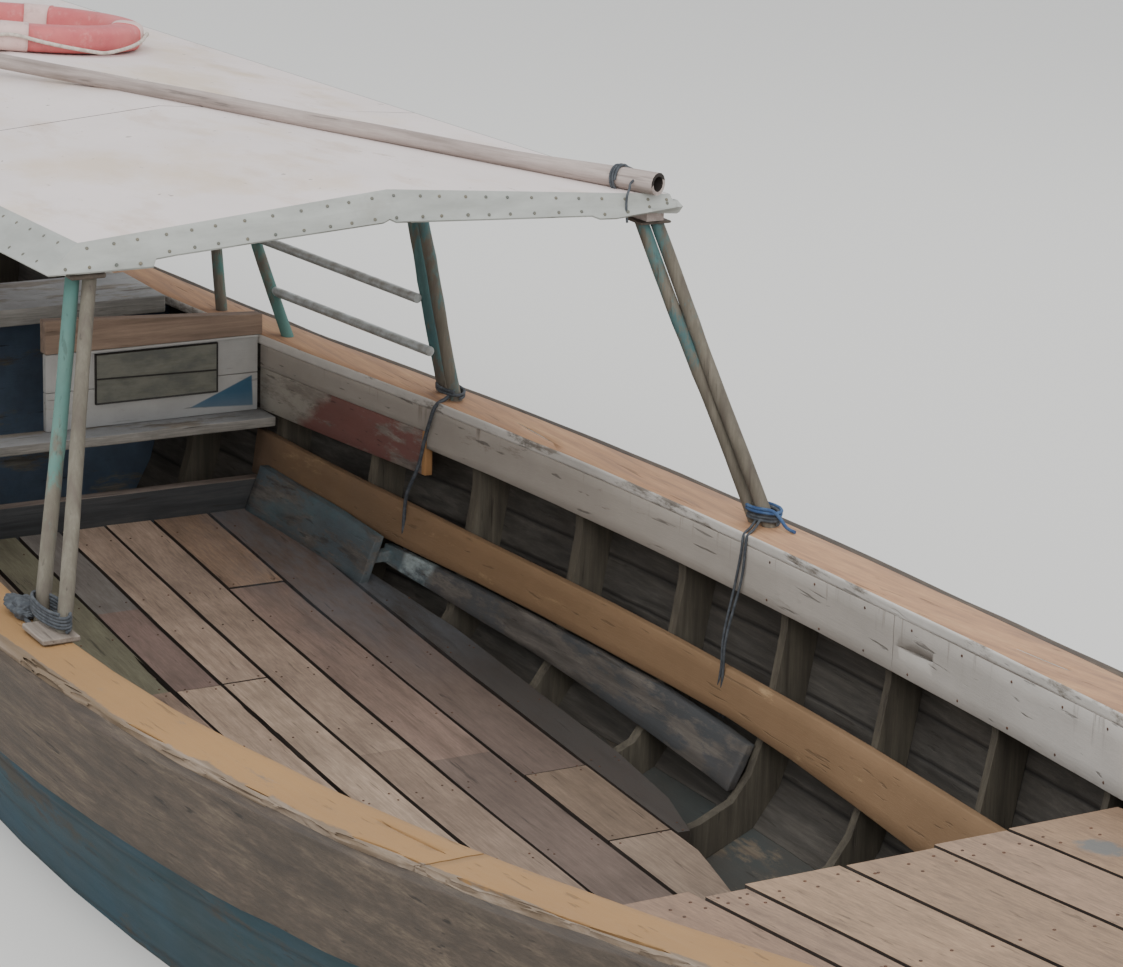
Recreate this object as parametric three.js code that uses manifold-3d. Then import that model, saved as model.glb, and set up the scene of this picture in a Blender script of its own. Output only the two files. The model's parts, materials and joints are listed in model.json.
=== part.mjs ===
// Longtail boat: an open plank-on-frame hull with a roofed well, a foredeck, a low cross
// partition and a swivelling motor whose long shaft carries the propeller.
// Millimetres. +X points to the bow, +Y to port, +Z up.
// The origin is on the centreline at the waterline, near the middle of the hull.

import * as THREE from 'three'
import { mergeVertices } from 'three/addons/utils/BufferGeometryUtils.js'
import Module from 'manifold-3d'

const wasm = await Module()
wasm.setup()

// Hull
const transomX = -4650
const bowX = 4600
const stationCount = 32
const capWidth = 148
const capThick = 28
const plankThick = 25
const boardThick = 24
const strakeDepth = 190
const strakeThick = 34
const strakeBelow = 7
const gap = 0.3
const ribSpacing = 470
const ribWidth = 55
const firstRib = 844
const ribsAft = 11
const ribsForward = 6
const ribGap = 0.7
const ribDepth = capWidth - plankThick - boardThick - 5
const ribFace = plankThick + ribGap + ribDepth
const keelHalf = 35
const keelDeep = 70

// Hull lines, one row for each station: distance from amidships, half-breadth inside the cap,
// cap height, underside of the hull at the centreline, depth of the inner board,
// and how fine the section is, from 0 (round bilge) to 1 (vee)
const lines = [
  { x: -4650, inner: 300, sheer: 530, keel: -60, board: 144, fine: 0.35 },
  { x: -3900, inner: 362, sheer: 508, keel: -210, board: 144, fine: 0.22 },
  { x: -3100, inner: 432, sheer: 494, keel: -300, board: 144, fine: 0.12 },
  { x: -2300, inner: 518, sheer: 484, keel: -350, board: 144, fine: 0.04 },
  { x: -1500, inner: 633, sheer: 474, keel: -378, board: 144, fine: 0 },
  { x: -700, inner: 769, sheer: 470, keel: -392, board: 144, fine: 0 },
  { x: 100, inner: 871, sheer: 466, keel: -398, board: 151, fine: 0 },
  { x: 900, inner: 896, sheer: 483, keel: -398, board: 157, fine: 0 },
  { x: 1700, inner: 851, sheer: 526, keel: -386, board: 168, fine: 0.06 },
  { x: 2500, inner: 749, sheer: 594, keel: -338, board: 184, fine: 0.2 },
  { x: 3300, inner: 597, sheer: 687, keel: -190, board: 200, fine: 0.42 },
  { x: 4000, inner: 410, sheer: 788, keel: 70, board: 215, fine: 0.72 },
  { x: 4600, inner: 5, sheer: 892, keel: 470, board: 226, fine: 1 }
]

// Half section from keel to sheer, for the round and the vee end of the range:
// across as a share of the half-breadth, up as a share of the height below the rub strake
const sectionShape = [
  { round: [0, 0], vee: [0, 0] },
  { round: [0.45, 0.06], vee: [0.16, 0.1] },
  { round: [0.7, 0.132], vee: [0.34, 0.24] },
  { round: [0.83, 0.224], vee: [0.5, 0.4] },
  { round: [0.905, 0.384], vee: [0.66, 0.58] },
  { round: [0.953, 0.6], vee: [0.8, 0.77] },
  { round: [0.9975, 1], vee: [0.95, 1] }
]
const bilge = 3
const strakeFoot = sectionShape.length - 1
const sheerPoint = sectionShape.length

// Floor
const floorThick = 24
const floorFrom = -1500
const floorTo = 2900
const floorHalf = 716
const plankGap = 6
// Height of the floor's top along the boat
const floorLine = [
  { x: -1500, z: -31 },
  { x: -700, z: -96 },
  { x: 100, z: -145 },
  { x: 900, z: -180 },
  { x: 1700, z: -199 },
  { x: 2900, z: -200 }
]
// Gaps between floor planks, measured from the centreline
const floorSeams = [-716, -590, -455, -318, -182, -49, 87, 236, 414, 597, 716]

// Foredeck and aft deck
const foredeckAft = 2351
const foredeckTo = 4420
const foredeckLow = 390
const foredeckRise = 0.1026
const deckThick = 25
const foredeckSeams = [-760, -440, -263, -159, 68, 289, 476, 760]
const aftDeckTo = -3560
const aftDeckTop = 398

// Side planks that lie on the ribs
const stringerThick = 24
const sideBoardThick = 22
const leanThick = 26
const leanOut = 50

// Partition
const partitionX = -1590
const beamLow = 476
const beamTop = 538
const beamPort = 628
const beamStarboard = -56
const boardsFoot = 246
const beamThick = 44
const ledgeBehind = 30
const ledgeDepth = 95
const ledgeThick = 30

// Roof
const roofFront = 480
const roofPanel = 1358
const roofPanels = 3
const roofHalf = 760
const roofEave = 1285
const roofRidge = 66
const roofFall = 0.029
const sheetThick = 12
const fasciaDrop = 60
const fasciaFlare = { starboard: 80, port: 22 }
const fasciaFlareFront = 30
const fasciaThick = 4
const poleRadius = 18
const roofPoleRadius = 28
const railRadius = 14

// Motor: swivel and tilt axes, slope of the crankshaft, and its height over the tilt axis
const pivotX = -4560
const tiltZ = 760
const shaftSlope = 20
const shaftRise = 60
const shaftLength = 2850
const shaftTube = 30
const pinRadius = 25
const trunnionRadius = 14
const cheekInside = 130
const cheekThick = 22
const propellerRadius = 128
const propellerBlades = 3

const material = (color, roughness = 0.8, metalness = 0) =>
  new THREE.MeshStandardMaterial({ color, roughness, metalness })
const paint = {
  blueHull: material(0x3f6f8a),
  bottom: material(0x5a5048),
  weathered: material(0x6f6455),
  ochreCap: material(0xb59255),
  bareCap: material(0xb98d6c),
  whiteBoard: material(0xb4b2aa),
  maroonBoard: material(0x8c5a52),
  stringer: material(0xa87a48),
  greyBoard: material(0x67686a),
  ribs: material(0x6b6254),
  floor: material(0x8a7362),
  foredeck: material(0xa28a76),
  beam: material(0x8c7052),
  ledge: material(0x8d8d84),
  plate: material(0x8a8b78),
  roofSheet: material(0xd6cdca),
  fascia: material(0xb9c2bd),
  turquoise: material(0x6d9a90),
  rail: material(0xb6b8b6, 0.5, 0.4),
  bamboo: material(0xa89888),
  buoy: material(0xd05040, 0.6),
  blueInner: material(0x3c5a72),
  castMetal: material(0x5c5f60, 0.6, 0.5),
  engineRed: material(0xa03028, 0.5, 0.2),
  steel: material(0x8a8d8e, 0.4, 0.7),
  darkSteel: material(0x3a3c3e, 0.6, 0.5),
  brass: material(0xa08850, 0.4, 0.8)
}

const boat = new THREE.Group()
const add = (name, geometry, look) => {
  const mesh = new THREE.Mesh(geometry, look)
  mesh.name = name
  boat.add(mesh)
  return mesh
}

// Smooth interpolation of one named column of a table of rows by x
function column(table, key, x) {
  const last = table.length - 1
  let i = 0
  while (i < last - 1 && x > table[i + 1].x) i++
  const [a, b] = [table[i], table[i + 1]]
  const span = b.x - a.x
  const t = (x - a.x) / span
  const before = table[Math.max(i - 1, 0)]
  const after = table[Math.min(i + 2, last)]
  const slopeA = ((b[key] - before[key]) / (b.x - before.x)) * span
  const slopeB = ((after[key] - a[key]) / (after.x - a.x)) * span
  const t2 = t * t
  const t3 = t2 * t
  return (2 * t3 - 3 * t2 + 1) * a[key] + (t3 - 2 * t2 + t) * slopeA +
    (3 * t2 - 2 * t3) * b[key] + (t3 - t2) * slopeB
}

// One lofting station: its outer half section and that section moved inwards by any distance
function makeStation(x) {
  const inner = column(lines, 'inner', x)
  const sheer = column(lines, 'sheer', x)
  const keel = column(lines, 'keel', x)
  const fine = column(lines, 'fine', x)
  const half = inner + capWidth
  const top = sheer - capThick - gap
  const low = top - strakeDepth - keel
  const points = sectionShape.map(({ round, vee }) => [
    half * (round[0] + (vee[0] - round[0]) * fine),
    keel + low * (round[1] + (vee[1] - round[1]) * fine)
  ])
  points.push([half, top])
  return { x, inner, sheer, keel, half, top, board: column(lines, 'board', x), points }
}

const stations = Array.from({ length: stationCount }, (_, i) =>
  makeStation(transomX + (bowX - transomX) * (i / (stationCount - 1))))

// Half section at a station, moved inwards by depth; its ends stay on the centreline and the top
function offsetSection(station, depth) {
  const { points } = station
  const normals = points.slice(1).map((p, i) => {
    const [dy, dz] = [p[0] - points[i][0], p[1] - points[i][1]]
    const length = Math.hypot(dy, dz)
    return [-dz / length, dy / length]
  })
  return points.map((p, i) => {
    if (i === 0) return [0, p[1] + depth / normals[0][1]]
    if (i === points.length - 1) return [p[0] + depth / normals[i - 1][0], p[1]]
    const [a, b] = [normals[i - 1], normals[i]]
    const [my, mz] = [a[0] + b[0], a[1] + b[1]]
    const scale = 2 * depth / (my * my + mz * mz)
    return [p[0] + my * scale, p[1] + mz * scale]
  })
}

// Station values at any x, straight between the lofting stations on either side
function atX(x, pick) {
  const step = (bowX - transomX) / (stationCount - 1)
  const i = Math.min(Math.max(Math.floor((x - transomX) / step), 0), stationCount - 2)
  const t = (x - stations[i].x) / step
  const [a, b] = [pick(stations[i]), pick(stations[i + 1])]
  const mix = (p, q) => Array.isArray(p) ? p.map((v, k) => mix(v, q[k])) : p + (q - p) * t
  return mix(a, b)
}
const sheerAt = x => atX(x, s => s.sheer)
const innerAt = x => atX(x, s => s.inner)
const topAt = x => atX(x, s => s.top)
const sectionAt = (x, depth) => atX(x, s => offsetSection(s, depth))

// Distance from the centreline of a section moved inwards by depth, at height z
function breadthAt(x, depth, z) {
  const section = sectionAt(x, depth)
  for (let i = section.length - 1; i > 0; i--) {
    const [a, b] = [section[i - 1], section[i]]
    if (z >= a[1]) return a[0] + (b[0] - a[0]) * Math.min((z - a[1]) / (b[1] - a[1]), 1)
  }
  return 0
}

// Height of a section moved inwards by depth, at a distance from the centreline
function heightAt(x, depth, y) {
  const section = sectionAt(x, depth)
  const i = Math.max(section.findIndex(p => p[0] >= y), 1)
  const [a, b] = [section[i - 1], section[i]]
  return a[1] + (b[1] - a[1]) * (y - a[0]) / (b[0] - a[0])
}

// The stretch of a half section between two of its points
const stretch = (section, from, to) => {
  const result = []
  const at = u => {
    const i = Math.min(Math.floor(u), section.length - 2)
    return section[i].map((v, k) => v + (section[i + 1][k] - v) * (u - i))
  }
  result.push(at(from))
  for (let u = Math.floor(from) + 1; u < to; u++) result.push(section[u])
  result.push(at(to))
  return result
}

const mirrored = points => points.map(([y, z]) => [-y, z]).reverse()
const stationXs = (from, to) => [
  from,
  ...stations.map(s => s.x).filter(x => x > from + 5 && x < to - 5),
  to
]

// Closed body through rings of points, with flat ends, its faces turned outwards
function loft(rings) {
  const count = rings[0].length
  const positions = rings.flat().flatMap(p => [p.x, p.y, p.z])
  const index = []
  for (let r = 0; r < rings.length - 1; r++) {
    for (let i = 0; i < count; i++) {
      const [a, b] = [r * count + i, r * count + (i + 1) % count]
      // The diagonal always rises along the boat, so that parallel skins stay parallel
      if (rings[r][i].z <= rings[r][(i + 1) % count].z) {
        index.push(a, b, b + count, a, b + count, a + count)
      } else {
        index.push(a, b, a + count, b, b + count, a + count)
      }
    }
  }
  const endFaces = (ring, base, flip) => {
    const normal = new THREE.Vector3()
    ring.forEach((p, i) => {
      const q = ring[(i + 1) % count]
      normal.add(new THREE.Vector3().crossVectors(p, q))
    })
    normal.normalize()
    const u = new THREE.Vector3(0, 0, 1)
    if (Math.abs(normal.z) > 0.7) u.set(1, 0, 0)
    u.addScaledVector(normal, -u.dot(normal)).normalize()
    const v = new THREE.Vector3().crossVectors(normal, u)
    const flat = ring.map(p => new THREE.Vector2(p.dot(u), p.dot(v)))
    for (const [a, b, c] of THREE.ShapeUtils.triangulateShape(flat, [])) {
      index.push(...(flip ? [base + a, base + c, base + b] : [base + a, base + b, base + c]))
    }
  }
  endFaces(rings[0], 0, true)
  endFaces(rings.at(-1), (rings.length - 1) * count, false)
  return outward(positions, index)
}

// Closed ring-shaped body through sections that end where they began
function closedLoft(rings) {
  const count = rings[0].length
  const positions = rings.flat().flatMap(p => [p.x, p.y, p.z])
  const index = []
  rings.forEach((_, r) => {
    const next = (r + 1) % rings.length
    for (let i = 0; i < count; i++) {
      const j = (i + 1) % count
      index.push(r * count + i, r * count + j, next * count + j)
      index.push(r * count + i, next * count + j, next * count + i)
    }
  })
  return outward(positions, index)
}

// Geometry from points and triangles, turned so that its volume is positive
function outward(positions, index) {
  let volume = 0
  const at = i => new THREE.Vector3(...positions.slice(3 * i, 3 * i + 3))
  for (let i = 0; i < index.length; i += 3) {
    const [a, b, c] = [at(index[i]), at(index[i + 1]), at(index[i + 2])]
    volume += a.dot(b.cross(c))
  }
  const turned = volume < 0 ? [...index].reverse() : index
  const geometry = new THREE.BufferGeometry()
  geometry.setAttribute('position', new THREE.Float32BufferAttribute(positions, 3))
  geometry.setIndex(turned)
  return geometry
}

const ringAt = (x, points) => points.map(([y, z]) => new THREE.Vector3(x, y, z))

// Long piece whose cross section at each x comes from outline(x)
const along = (from, to, outline) =>
  loft(stationXs(from, to).map(x => ringAt(x, outline(x))))

const box = (x0, x1, y0, y1, z0, z1) => {
  const geometry = new THREE.BoxGeometry(x1 - x0, y1 - y0, z1 - z0)
  return geometry.translate((x0 + x1) / 2, (y0 + y1) / 2, (z0 + z1) / 2)
}

// Round bar between two points
const rod = (from, to, radius, sides = 12, radiusTo = radius) => {
  const [a, b] = [new THREE.Vector3(...from), new THREE.Vector3(...to)]
  const run = b.clone().sub(a)
  const geometry = new THREE.CylinderGeometry(radiusTo, radius, run.length(), sides)
  const turn = new THREE.Quaternion().setFromUnitVectors(
    new THREE.Vector3(0, 1, 0), run.clone().normalize())
  return geometry.applyQuaternion(turn).translate(...a.add(b).multiplyScalar(0.5).toArray())
}

// Booleans on closed meshes
function solid(geometry) {
  const bare = geometry.clone()
  bare.deleteAttribute('normal')
  bare.deleteAttribute('uv')
  const merged = mergeVertices(bare, 1e-4)
  const mesh = new wasm.Mesh({
    numProp: 3,
    vertProperties: Float32Array.from(merged.attributes.position.array),
    triVerts: Uint32Array.from(merged.index.array)
  })
  return new wasm.Manifold(mesh)
}
function shell(manifold) {
  const mesh = manifold.getMesh()
  const geometry = new THREE.BufferGeometry()
  geometry.setAttribute('position', new THREE.Float32BufferAttribute(mesh.vertProperties, 3))
  geometry.setIndex([...mesh.triVerts])
  return geometry
}
const join = pieces => shell(pieces.map(solid).reduce((a, b) => a.add(b)))
const cut = (piece, tools) => shell(tools.map(solid).reduce((a, b) => a.subtract(b), solid(piece)))
const overlapOf = (a, b) => shell(solid(a).intersect(solid(b)))

const sides = [{ side: 'port', sign: 1 }, { side: 'starboard', sign: -1 }]
const onSide = (points, sign) => points.map(([y, z]) => [sign * y, z])

// Planking
const bottomOutline = x => {
  const outer = stretch(sectionAt(x, 0), 0, bilge)
  const inner = stretch(sectionAt(x, plankThick), 0, bilge)
  return [...mirrored(outer), ...outer.slice(1), ...inner.slice(1).reverse(), ...mirrored(inner).reverse()]
}
add('hull_bottom', along(transomX, bowX, bottomOutline), paint.bottom)

const seamShare = 0.006
for (const { side, sign } of sides) {
  add(`hull_side_${side}`, along(transomX, bowX, x => {
    const outer = stretch(sectionAt(x, 0), bilge + seamShare, sheerPoint)
    const inner = stretch(sectionAt(x, plankThick), bilge + seamShare, sheerPoint)
    return onSide([...outer, ...inner.reverse()], sign)
  }), paint.blueHull)

  add(`rub_strake_${side}`, along(transomX, bowX, x => {
    const near = stretch(sectionAt(x, -gap), strakeFoot, sheerPoint)
    const far = stretch(sectionAt(x, -gap - strakeThick), strakeFoot, sheerPoint)
    for (const edge of [near, far]) edge.push([edge.at(-1)[0], sheerAt(x) - strakeBelow])
    return onSide([...far, ...near.reverse()], sign)
  }), paint.weathered)
}

// Keel and stem
const keelOutline = half => x => {
  const z = atX(x, s => s.keel) - gap
  return [[-half, z - keelDeep], [half, z - keelDeep], [half, z], [-half, z]]
}
const keelNarrows = 3000
add('keel', along(transomX + 200, bowX, x =>
  keelOutline(x > keelNarrows ? keelHalf - 5 : keelHalf)(x)), paint.bottom)

// Solid bow end that closes the planking and carries the caps
const bowTip = 4750
add('bow_block', (() => {
  const outer = sectionAt(bowX, -gap)
  const sheer = sheerAt(bowX)
  const ring = [...mirrored(outer), ...outer.slice(1)]
  ring[0] = [ring[0][0], sheer]
  ring[ring.length - 1] = [ring.at(-1)[0], sheer]
  const shrunk = ring.map(([y, z]) => [y * 0.3, sheer + 24 + (z - sheer) * 0.45])
  return loft([ringAt(bowX + gap, ring), ringAt(bowTip, shrunk)])
})(), paint.blueHull)

add('transom', (() => {
  const outer = sectionAt(transomX, 0)
  const ring = [...mirrored(outer), ...outer.slice(1)]
  return loft([ringAt(transomX - 40, ring), ringAt(transomX - gap, ring)])
})(), paint.blueHull)

// Ribs, joined by the keelson that runs over them
const ribXs = []
for (let k = -ribsAft; k <= ribsForward; k++) ribXs.push(firstRib + k * ribSpacing)
const interior = along(transomX, bowX, x => {
  const inside = sectionAt(x, plankThick + ribGap)
  return [...mirrored(inside), ...inside.slice(1)]
})
const ribs = ribXs.map(x => {
  const rings = [x - ribWidth / 2, x + ribWidth / 2].map(at => {
    const outer = sectionAt(at, 0)
    const inner = sectionAt(at, ribFace)
    outer[outer.length - 1][1] += 20
    inner[inner.length - 1][1] += 20
    return ringAt(at, [...mirrored(outer), ...outer.slice(1),
      ...inner.slice().reverse(), ...mirrored(inner).reverse().slice(1)])
  })
  return overlapOf(loft(rings), interior)
})
const keelsonHalf = 45
const keelsonDeep = 66
const keelsonBody = clear => along(ribXs[0] - 60, ribXs.at(-1) + 60, x => {
  const half = keelsonHalf + clear
  const foot = heightAt(x, plankThick + ribGap, keelsonHalf) + 1
  const [low, high] = [foot - 40 * clear, foot + keelsonDeep + clear]
  return [[-half, low], [half, low], [half, high], [-half, high]]
})
const keelson = keelsonBody(0)
const floorAt = x => column(floorLine, 'z', Math.min(Math.max(x, floorFrom), floorTo))
const floorLimit = x => breadthAt(x, ribFace, floorAt(x) - floorThick) - 8
const floorRibs = ribXs.filter(x => x > floorFrom + 60 && floorLimit(x + ribWidth) > floorSeams.at(-3))
const bearers = floorRibs.map(x => {
  const top = Math.min(floorAt(x - 25), floorAt(x + 25)) - floorThick - 1
  const half = Math.min(floorHalf, breadthAt(x, ribFace, top - 30)) + 20
  return box(x - 25, x + 25, -half, half, top - 75, top)
})
const foredeckAt = x => foredeckLow + (x - foredeckAft) * foredeckRise

// Caps and the boards under their inner edges
const capOutline = (x, sign) => {
  const [inner, sheer] = [innerAt(x), sheerAt(x)]
  const outer = inner + capWidth
  const under = sheer - capThick
  return onSide([[inner, under], [outer, under], [outer, sheer], [inner, sheer]], sign)
}
const boardFrom = partitionX + 2
const boardTo = 4150
// Over the lower board the inner board is narrower
const lowerBoardTo = -770
const narrowBoard = 97
const boardFootAt = x => {
  const free = sheerAt(x) - atX(x, s => s.board)
  return x > foredeckAft - 200 ? Math.max(free, foredeckAt(x) + 1) : free
}
// Inner board, or with a clearance the notch that it needs in the ribs
const innerBoard = (sign, clear = 0) => {
  const stretchOf = (from, to, footAt) => along(from, to, x => {
    const [y, top, foot] = [innerAt(x), topAt(x), footAt(x)]
    const [near, far] = [y - 60 * clear, y + boardThick + clear]
    return onSide([[near, foot - clear], [far, foot - clear], [far, top + clear], [near, top + clear]], sign)
  })
  const step = lowerBoardTo + 4 - clear
  return join([
    stretchOf(boardFrom - clear, step + 2, x => sheerAt(x) - narrowBoard),
    stretchOf(step, boardTo + clear, boardFootAt)
  ])
}
const notches = sides.map(({ sign }) => innerBoard(sign, 0.8))
add('frames', cut(join([...ribs, keelson, ...bearers]), notches), paint.ribs)
const stringerTop = x => 122 + 18 * ((x - 350) / 1000) ** 2
const stringerFoot = x => stringerTop(x) - 114 - Math.max(0, x - 800) * 0.04 - Math.max(0, -x - 500) * 0.02
for (const { side, sign } of sides) {
  add(`cap_${side}`, along(transomX - 40, bowX, x => capOutline(Math.max(x, transomX), sign)),
    sign > 0 ? paint.bareCap : paint.ochreCap)

  add(`inner_board_${side}`, innerBoard(sign), paint.whiteBoard)

  add(`lower_board_${side}`, along(boardFrom, lowerBoardTo, x => {
    const y = innerAt(x)
    const top = sheerAt(x) - narrowBoard - 1
    const foot = top - 128
    const shift = breadthAt(x, ribFace, foot) - gap - boardThick
    return onSide([[shift, foot], [shift + boardThick, foot], [y + boardThick, top], [y, top]], sign)
  }), paint.maroonBoard)

  add(`stringer_${side}`, along(boardFrom, 2320, x => {
    const [top, foot] = [stringerTop(x), stringerFoot(x)]
    const [yTop, yFoot] = [top, foot].map(z => breadthAt(x, ribFace + ribGap, z))
    const thick = stringerThick
    return onSide([[yTop - thick, top], [yFoot - thick, foot], [yFoot, foot], [yTop, top]], sign)
  }), paint.stringer)

  // Lower side boards: one long board on the ribs and, overlapping its aft end,
  // one that stands on the floor's edge and leans outwards
  const forward = along(-900, 835, x => {
    const top = Math.min(floorAt(x) + 158, stringerFoot(x) - 14)
    const foot = floorAt(x) + 48
    const [yTop, yFoot] = [top, foot].map(z => breadthAt(x, ribFace + ribGap, z))
    const thick = sideBoardThick
    return onSide([[yTop - thick, top], [yFoot - thick, foot], [yFoot, foot], [yTop, top]], sign)
  })
  const leanFoot = x => Math.min(604, breadthAt(x, ribFace, floorAt(x)) - 84,
    breadthAt(x, ribFace, floorAt(x) + 132) - stringerThick - leanThick - leanOut - 4)
  const leaning = along(floorFrom + 8, -862, x => {
    const foot = floorAt(x) + 1
    const [y, top] = [leanFoot(x), foot + 131]
    const out = y + leanOut
    return onSide([[y, foot], [y + leanThick, foot], [out + leanThick, top], [out, top]], sign)
  })
  const chock = loft([-896, -866].map(x => {
    const [low, high] = [floorAt(x) + 55, floorAt(x) + 85]
    const [near, far] = [leanFoot(x) + leanOut * 0.6, breadthAt(x, ribFace, low) - sideBoardThick / 2]
    return ringAt(x, onSide([[near, low], [far, low], [far, high], [near, high]], sign))
  }))
  add(`side_boards_${side}`, join([forward, leaning, chock]), paint.greyBoard)
}

// One deck plank between two seams, trimmed to the width that limitAt gives at each x.
// It ends where less than trimWidth of it would be left.
const trimWidth = 36
function deckPlank(from, to, y0, y1, thick, topAtX, limitAt) {
  const near = y0 * y1 < 0 ? 0 : Math.min(Math.abs(y0), Math.abs(y1))
  const fits = x => limitAt(x) > near + trimWidth
  let [a, b] = [from, to]
  while (a < b && !fits(a)) a += 10
  while (b > a && !fits(b)) b -= 10
  return along(a, b, x => {
    const limit = limitAt(x)
    const [left, right] = [y0 + plankGap / 2, y1 - plankGap / 2]
      .map(y => Math.max(-limit, Math.min(limit, y)))
    const top = topAtX(x)
    return [[left, top - thick], [right, top - thick], [right, top], [left, top]]
  })
}

// Floor planks, held together by battens under them
const floorPlank = (y0, y1) => deckPlank(floorFrom, floorTo, y0, y1, floorThick, floorAt, floorLimit)
const floorPlanks = floorSeams.slice(1).map((y, i) => floorPlank(floorSeams[i], y))
const battens = floorRibs.map(x => {
  const from = x + ribWidth / 2 + 12
  const top = floorAt(from + 25) - floorThick + 6
  const half = Math.min(floorHalf, breadthAt(x, ribFace, top - 30)) - 20
  return box(from, from + 50, -half, half, top - 30, top)
})
add('floor', join([...floorPlanks, ...battens]), paint.floor)

// Foredeck planks on their beams
const foredeckLimit = x =>
  Math.min(...[0, deckThick].map(down => breadthAt(x, ribFace, foredeckAt(x) - down))) - 4
const foredeckPlank = (y0, y1) =>
  deckPlank(foredeckAft, foredeckTo, y0, y1, deckThick, foredeckAt, foredeckLimit)
const foredeckPlanks = foredeckSeams.slice(1).map((y, i) => foredeckPlank(foredeckSeams[i], y))
const foredeckBeams = [foredeckAft + 12, 3030, 3500].map(x => {
  const top = foredeckAt(x) - deckThick + 5
  const half = breadthAt(x + 60, ribFace, top - 90) - 4
  return box(x, x + 60, -half, half, top - 90, top)
})
add('foredeck', join([...foredeckPlanks, ...foredeckBeams]), paint.foredeck)

// Aft deck
const aftDeckLimit = x => breadthAt(x, ribFace, aftDeckTop - deckThick) - 4
const aftDeckPlank = (y0, y1) =>
  deckPlank(transomX + gap, aftDeckTo, y0, y1, deckThick, () => aftDeckTop, aftDeckLimit)
const aftDeckEdges = [-500, -170, 0, 170, 500]
const aftDeckPlanks = aftDeckEdges.slice(1).map((y, i) => aftDeckPlank(aftDeckEdges[i], y))
const aftDeckBeams = [-4480, -3640].map(x => {
  const half = breadthAt(x, ribFace, aftDeckTop - deckThick - 70) - 4
  return box(x, x + 60, -half, half, aftDeckTop - deckThick - 70, aftDeckTop - deckThick + 5)
})
add('aft_deck', join([...aftDeckPlanks, ...aftDeckBeams]), paint.foredeck)

// Cross partition: beam, boards, blank plate, ledge and the step at the floor's end
const partitionBack = partitionX - 24
add('partition_beam', box(partitionX - beamThick, partitionX, beamStarboard, beamPort,
  beamLow + gap, beamTop), paint.beam)
const boardsPort = innerAt(partitionX - ledgeBehind) - 2
add('partition_boards', box(partitionBack, partitionX, beamStarboard, boardsPort,
  boardsFoot + gap, beamLow), paint.whiteBoard)
add('name_board', box(partitionX + gap, partitionX + 12, 92, 482, 315, 468), paint.plate)
add('ledge', (() => {
  const half = breadthAt(partitionX - ledgeBehind, ribFace, boardsFoot - ledgeThick) - 4
  return box(partitionX - ledgeBehind, partitionX + ledgeDepth, -half, half,
    boardsFoot - ledgeThick, boardsFoot)
})(), paint.ledge)
add('step_beam', (() => {
  const foot = floorAt(floorFrom) - floorThick
  const half = breadthAt(floorFrom - 60, ribFace, foot) - 6
  return box(floorFrom - 46, floorFrom - gap, -half, half, foot, floorAt(floorFrom) + 92)
})(), paint.beam)

// Blue bulkhead further aft, with the grey board along its top
const bulkheadX = -2320
const benchFoot = sheerAt(bulkheadX) - capThick - 3
add('aft_bulkhead', (() => {
  const plate = box(bulkheadX - 22, bulkheadX, -700, 700, -500, benchFoot - gap)
  return cut(overlapOf(plate, interior), [keelsonBody(0.6)])
})(), paint.blueInner)
const benchHalf = innerAt(bulkheadX - 60) - 3
add('aft_bench', box(bulkheadX - 60, bulkheadX + 280, -benchHalf, benchHalf,
  benchFoot, sheerAt(bulkheadX) + 22), paint.ledge)

// Roof sheets
const eaveAt = x => roofEave - (roofFront - x) * roofFall
const roofOutline = (x, raise, thick, half) => {
  const ridge = eaveAt(x) + roofRidge + raise
  const eave = eaveAt(x) + raise + roofRidge * (1 - half / roofHalf)
  return [
    [-half, eave], [0, ridge], [half, eave],
    [half, eave + thick], [0, ridge + thick], [-half, eave + thick]
  ]
}
for (let i = 0; i < roofPanels; i++) {
  const front = roofFront - i * roofPanel - (i ? 1.5 : 0)
  const back = roofFront - (i + 1) * roofPanel + 1.5
  const geometry = loft([back, front].map(x => ringAt(x, roofOutline(x, gap, sheetThick, roofHalf))))
  add(`roof_sheet_${i + 1}`, geometry, paint.roofSheet)
}

// Roof frame under the sheets: rafters at the posts and two long rails with the ridge pole
const roofBack = roofFront - roofPanels * roofPanel
const frameXs = [430, -300, -900, -1500, -2040, -2800, -3520]
const rafterDeep = 40
const rafters = frameXs.map(x => {
  const lower = roofOutline(x, -rafterDeep, rafterDeep, roofHalf - 4)
  return loft([ringAt(x - 22, lower.map(([y, z]) => [y, z - 22 * roofFall])), ringAt(x + 22, lower)])
})
const eaveRailY = 735
const railDeep = 50
const railDrop = 8
const slopeAt = (x, y) => eaveAt(x) + roofRidge * (1 - Math.abs(y) / roofHalf)
const longRail = (y, half, deep) => {
  const outline = x => {
    const [foot, top] = [slopeAt(x, y) - deep - railDrop, slopeAt(x, y) - railDrop / 2]
    return [[y - half, foot], [y + half, foot], [y + half, top], [y - half, top]]
  }
  return loft([roofBack + 20, roofFront - 12].map(x => ringAt(x, outline(x))))
}
const roofRails = [-eaveRailY, 0, eaveRailY].map(y => longRail(y, y ? 24 : 20, y ? railDeep : 44))
add('roof_frame', join([...rafters, ...roofRails]), paint.bamboo)

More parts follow.
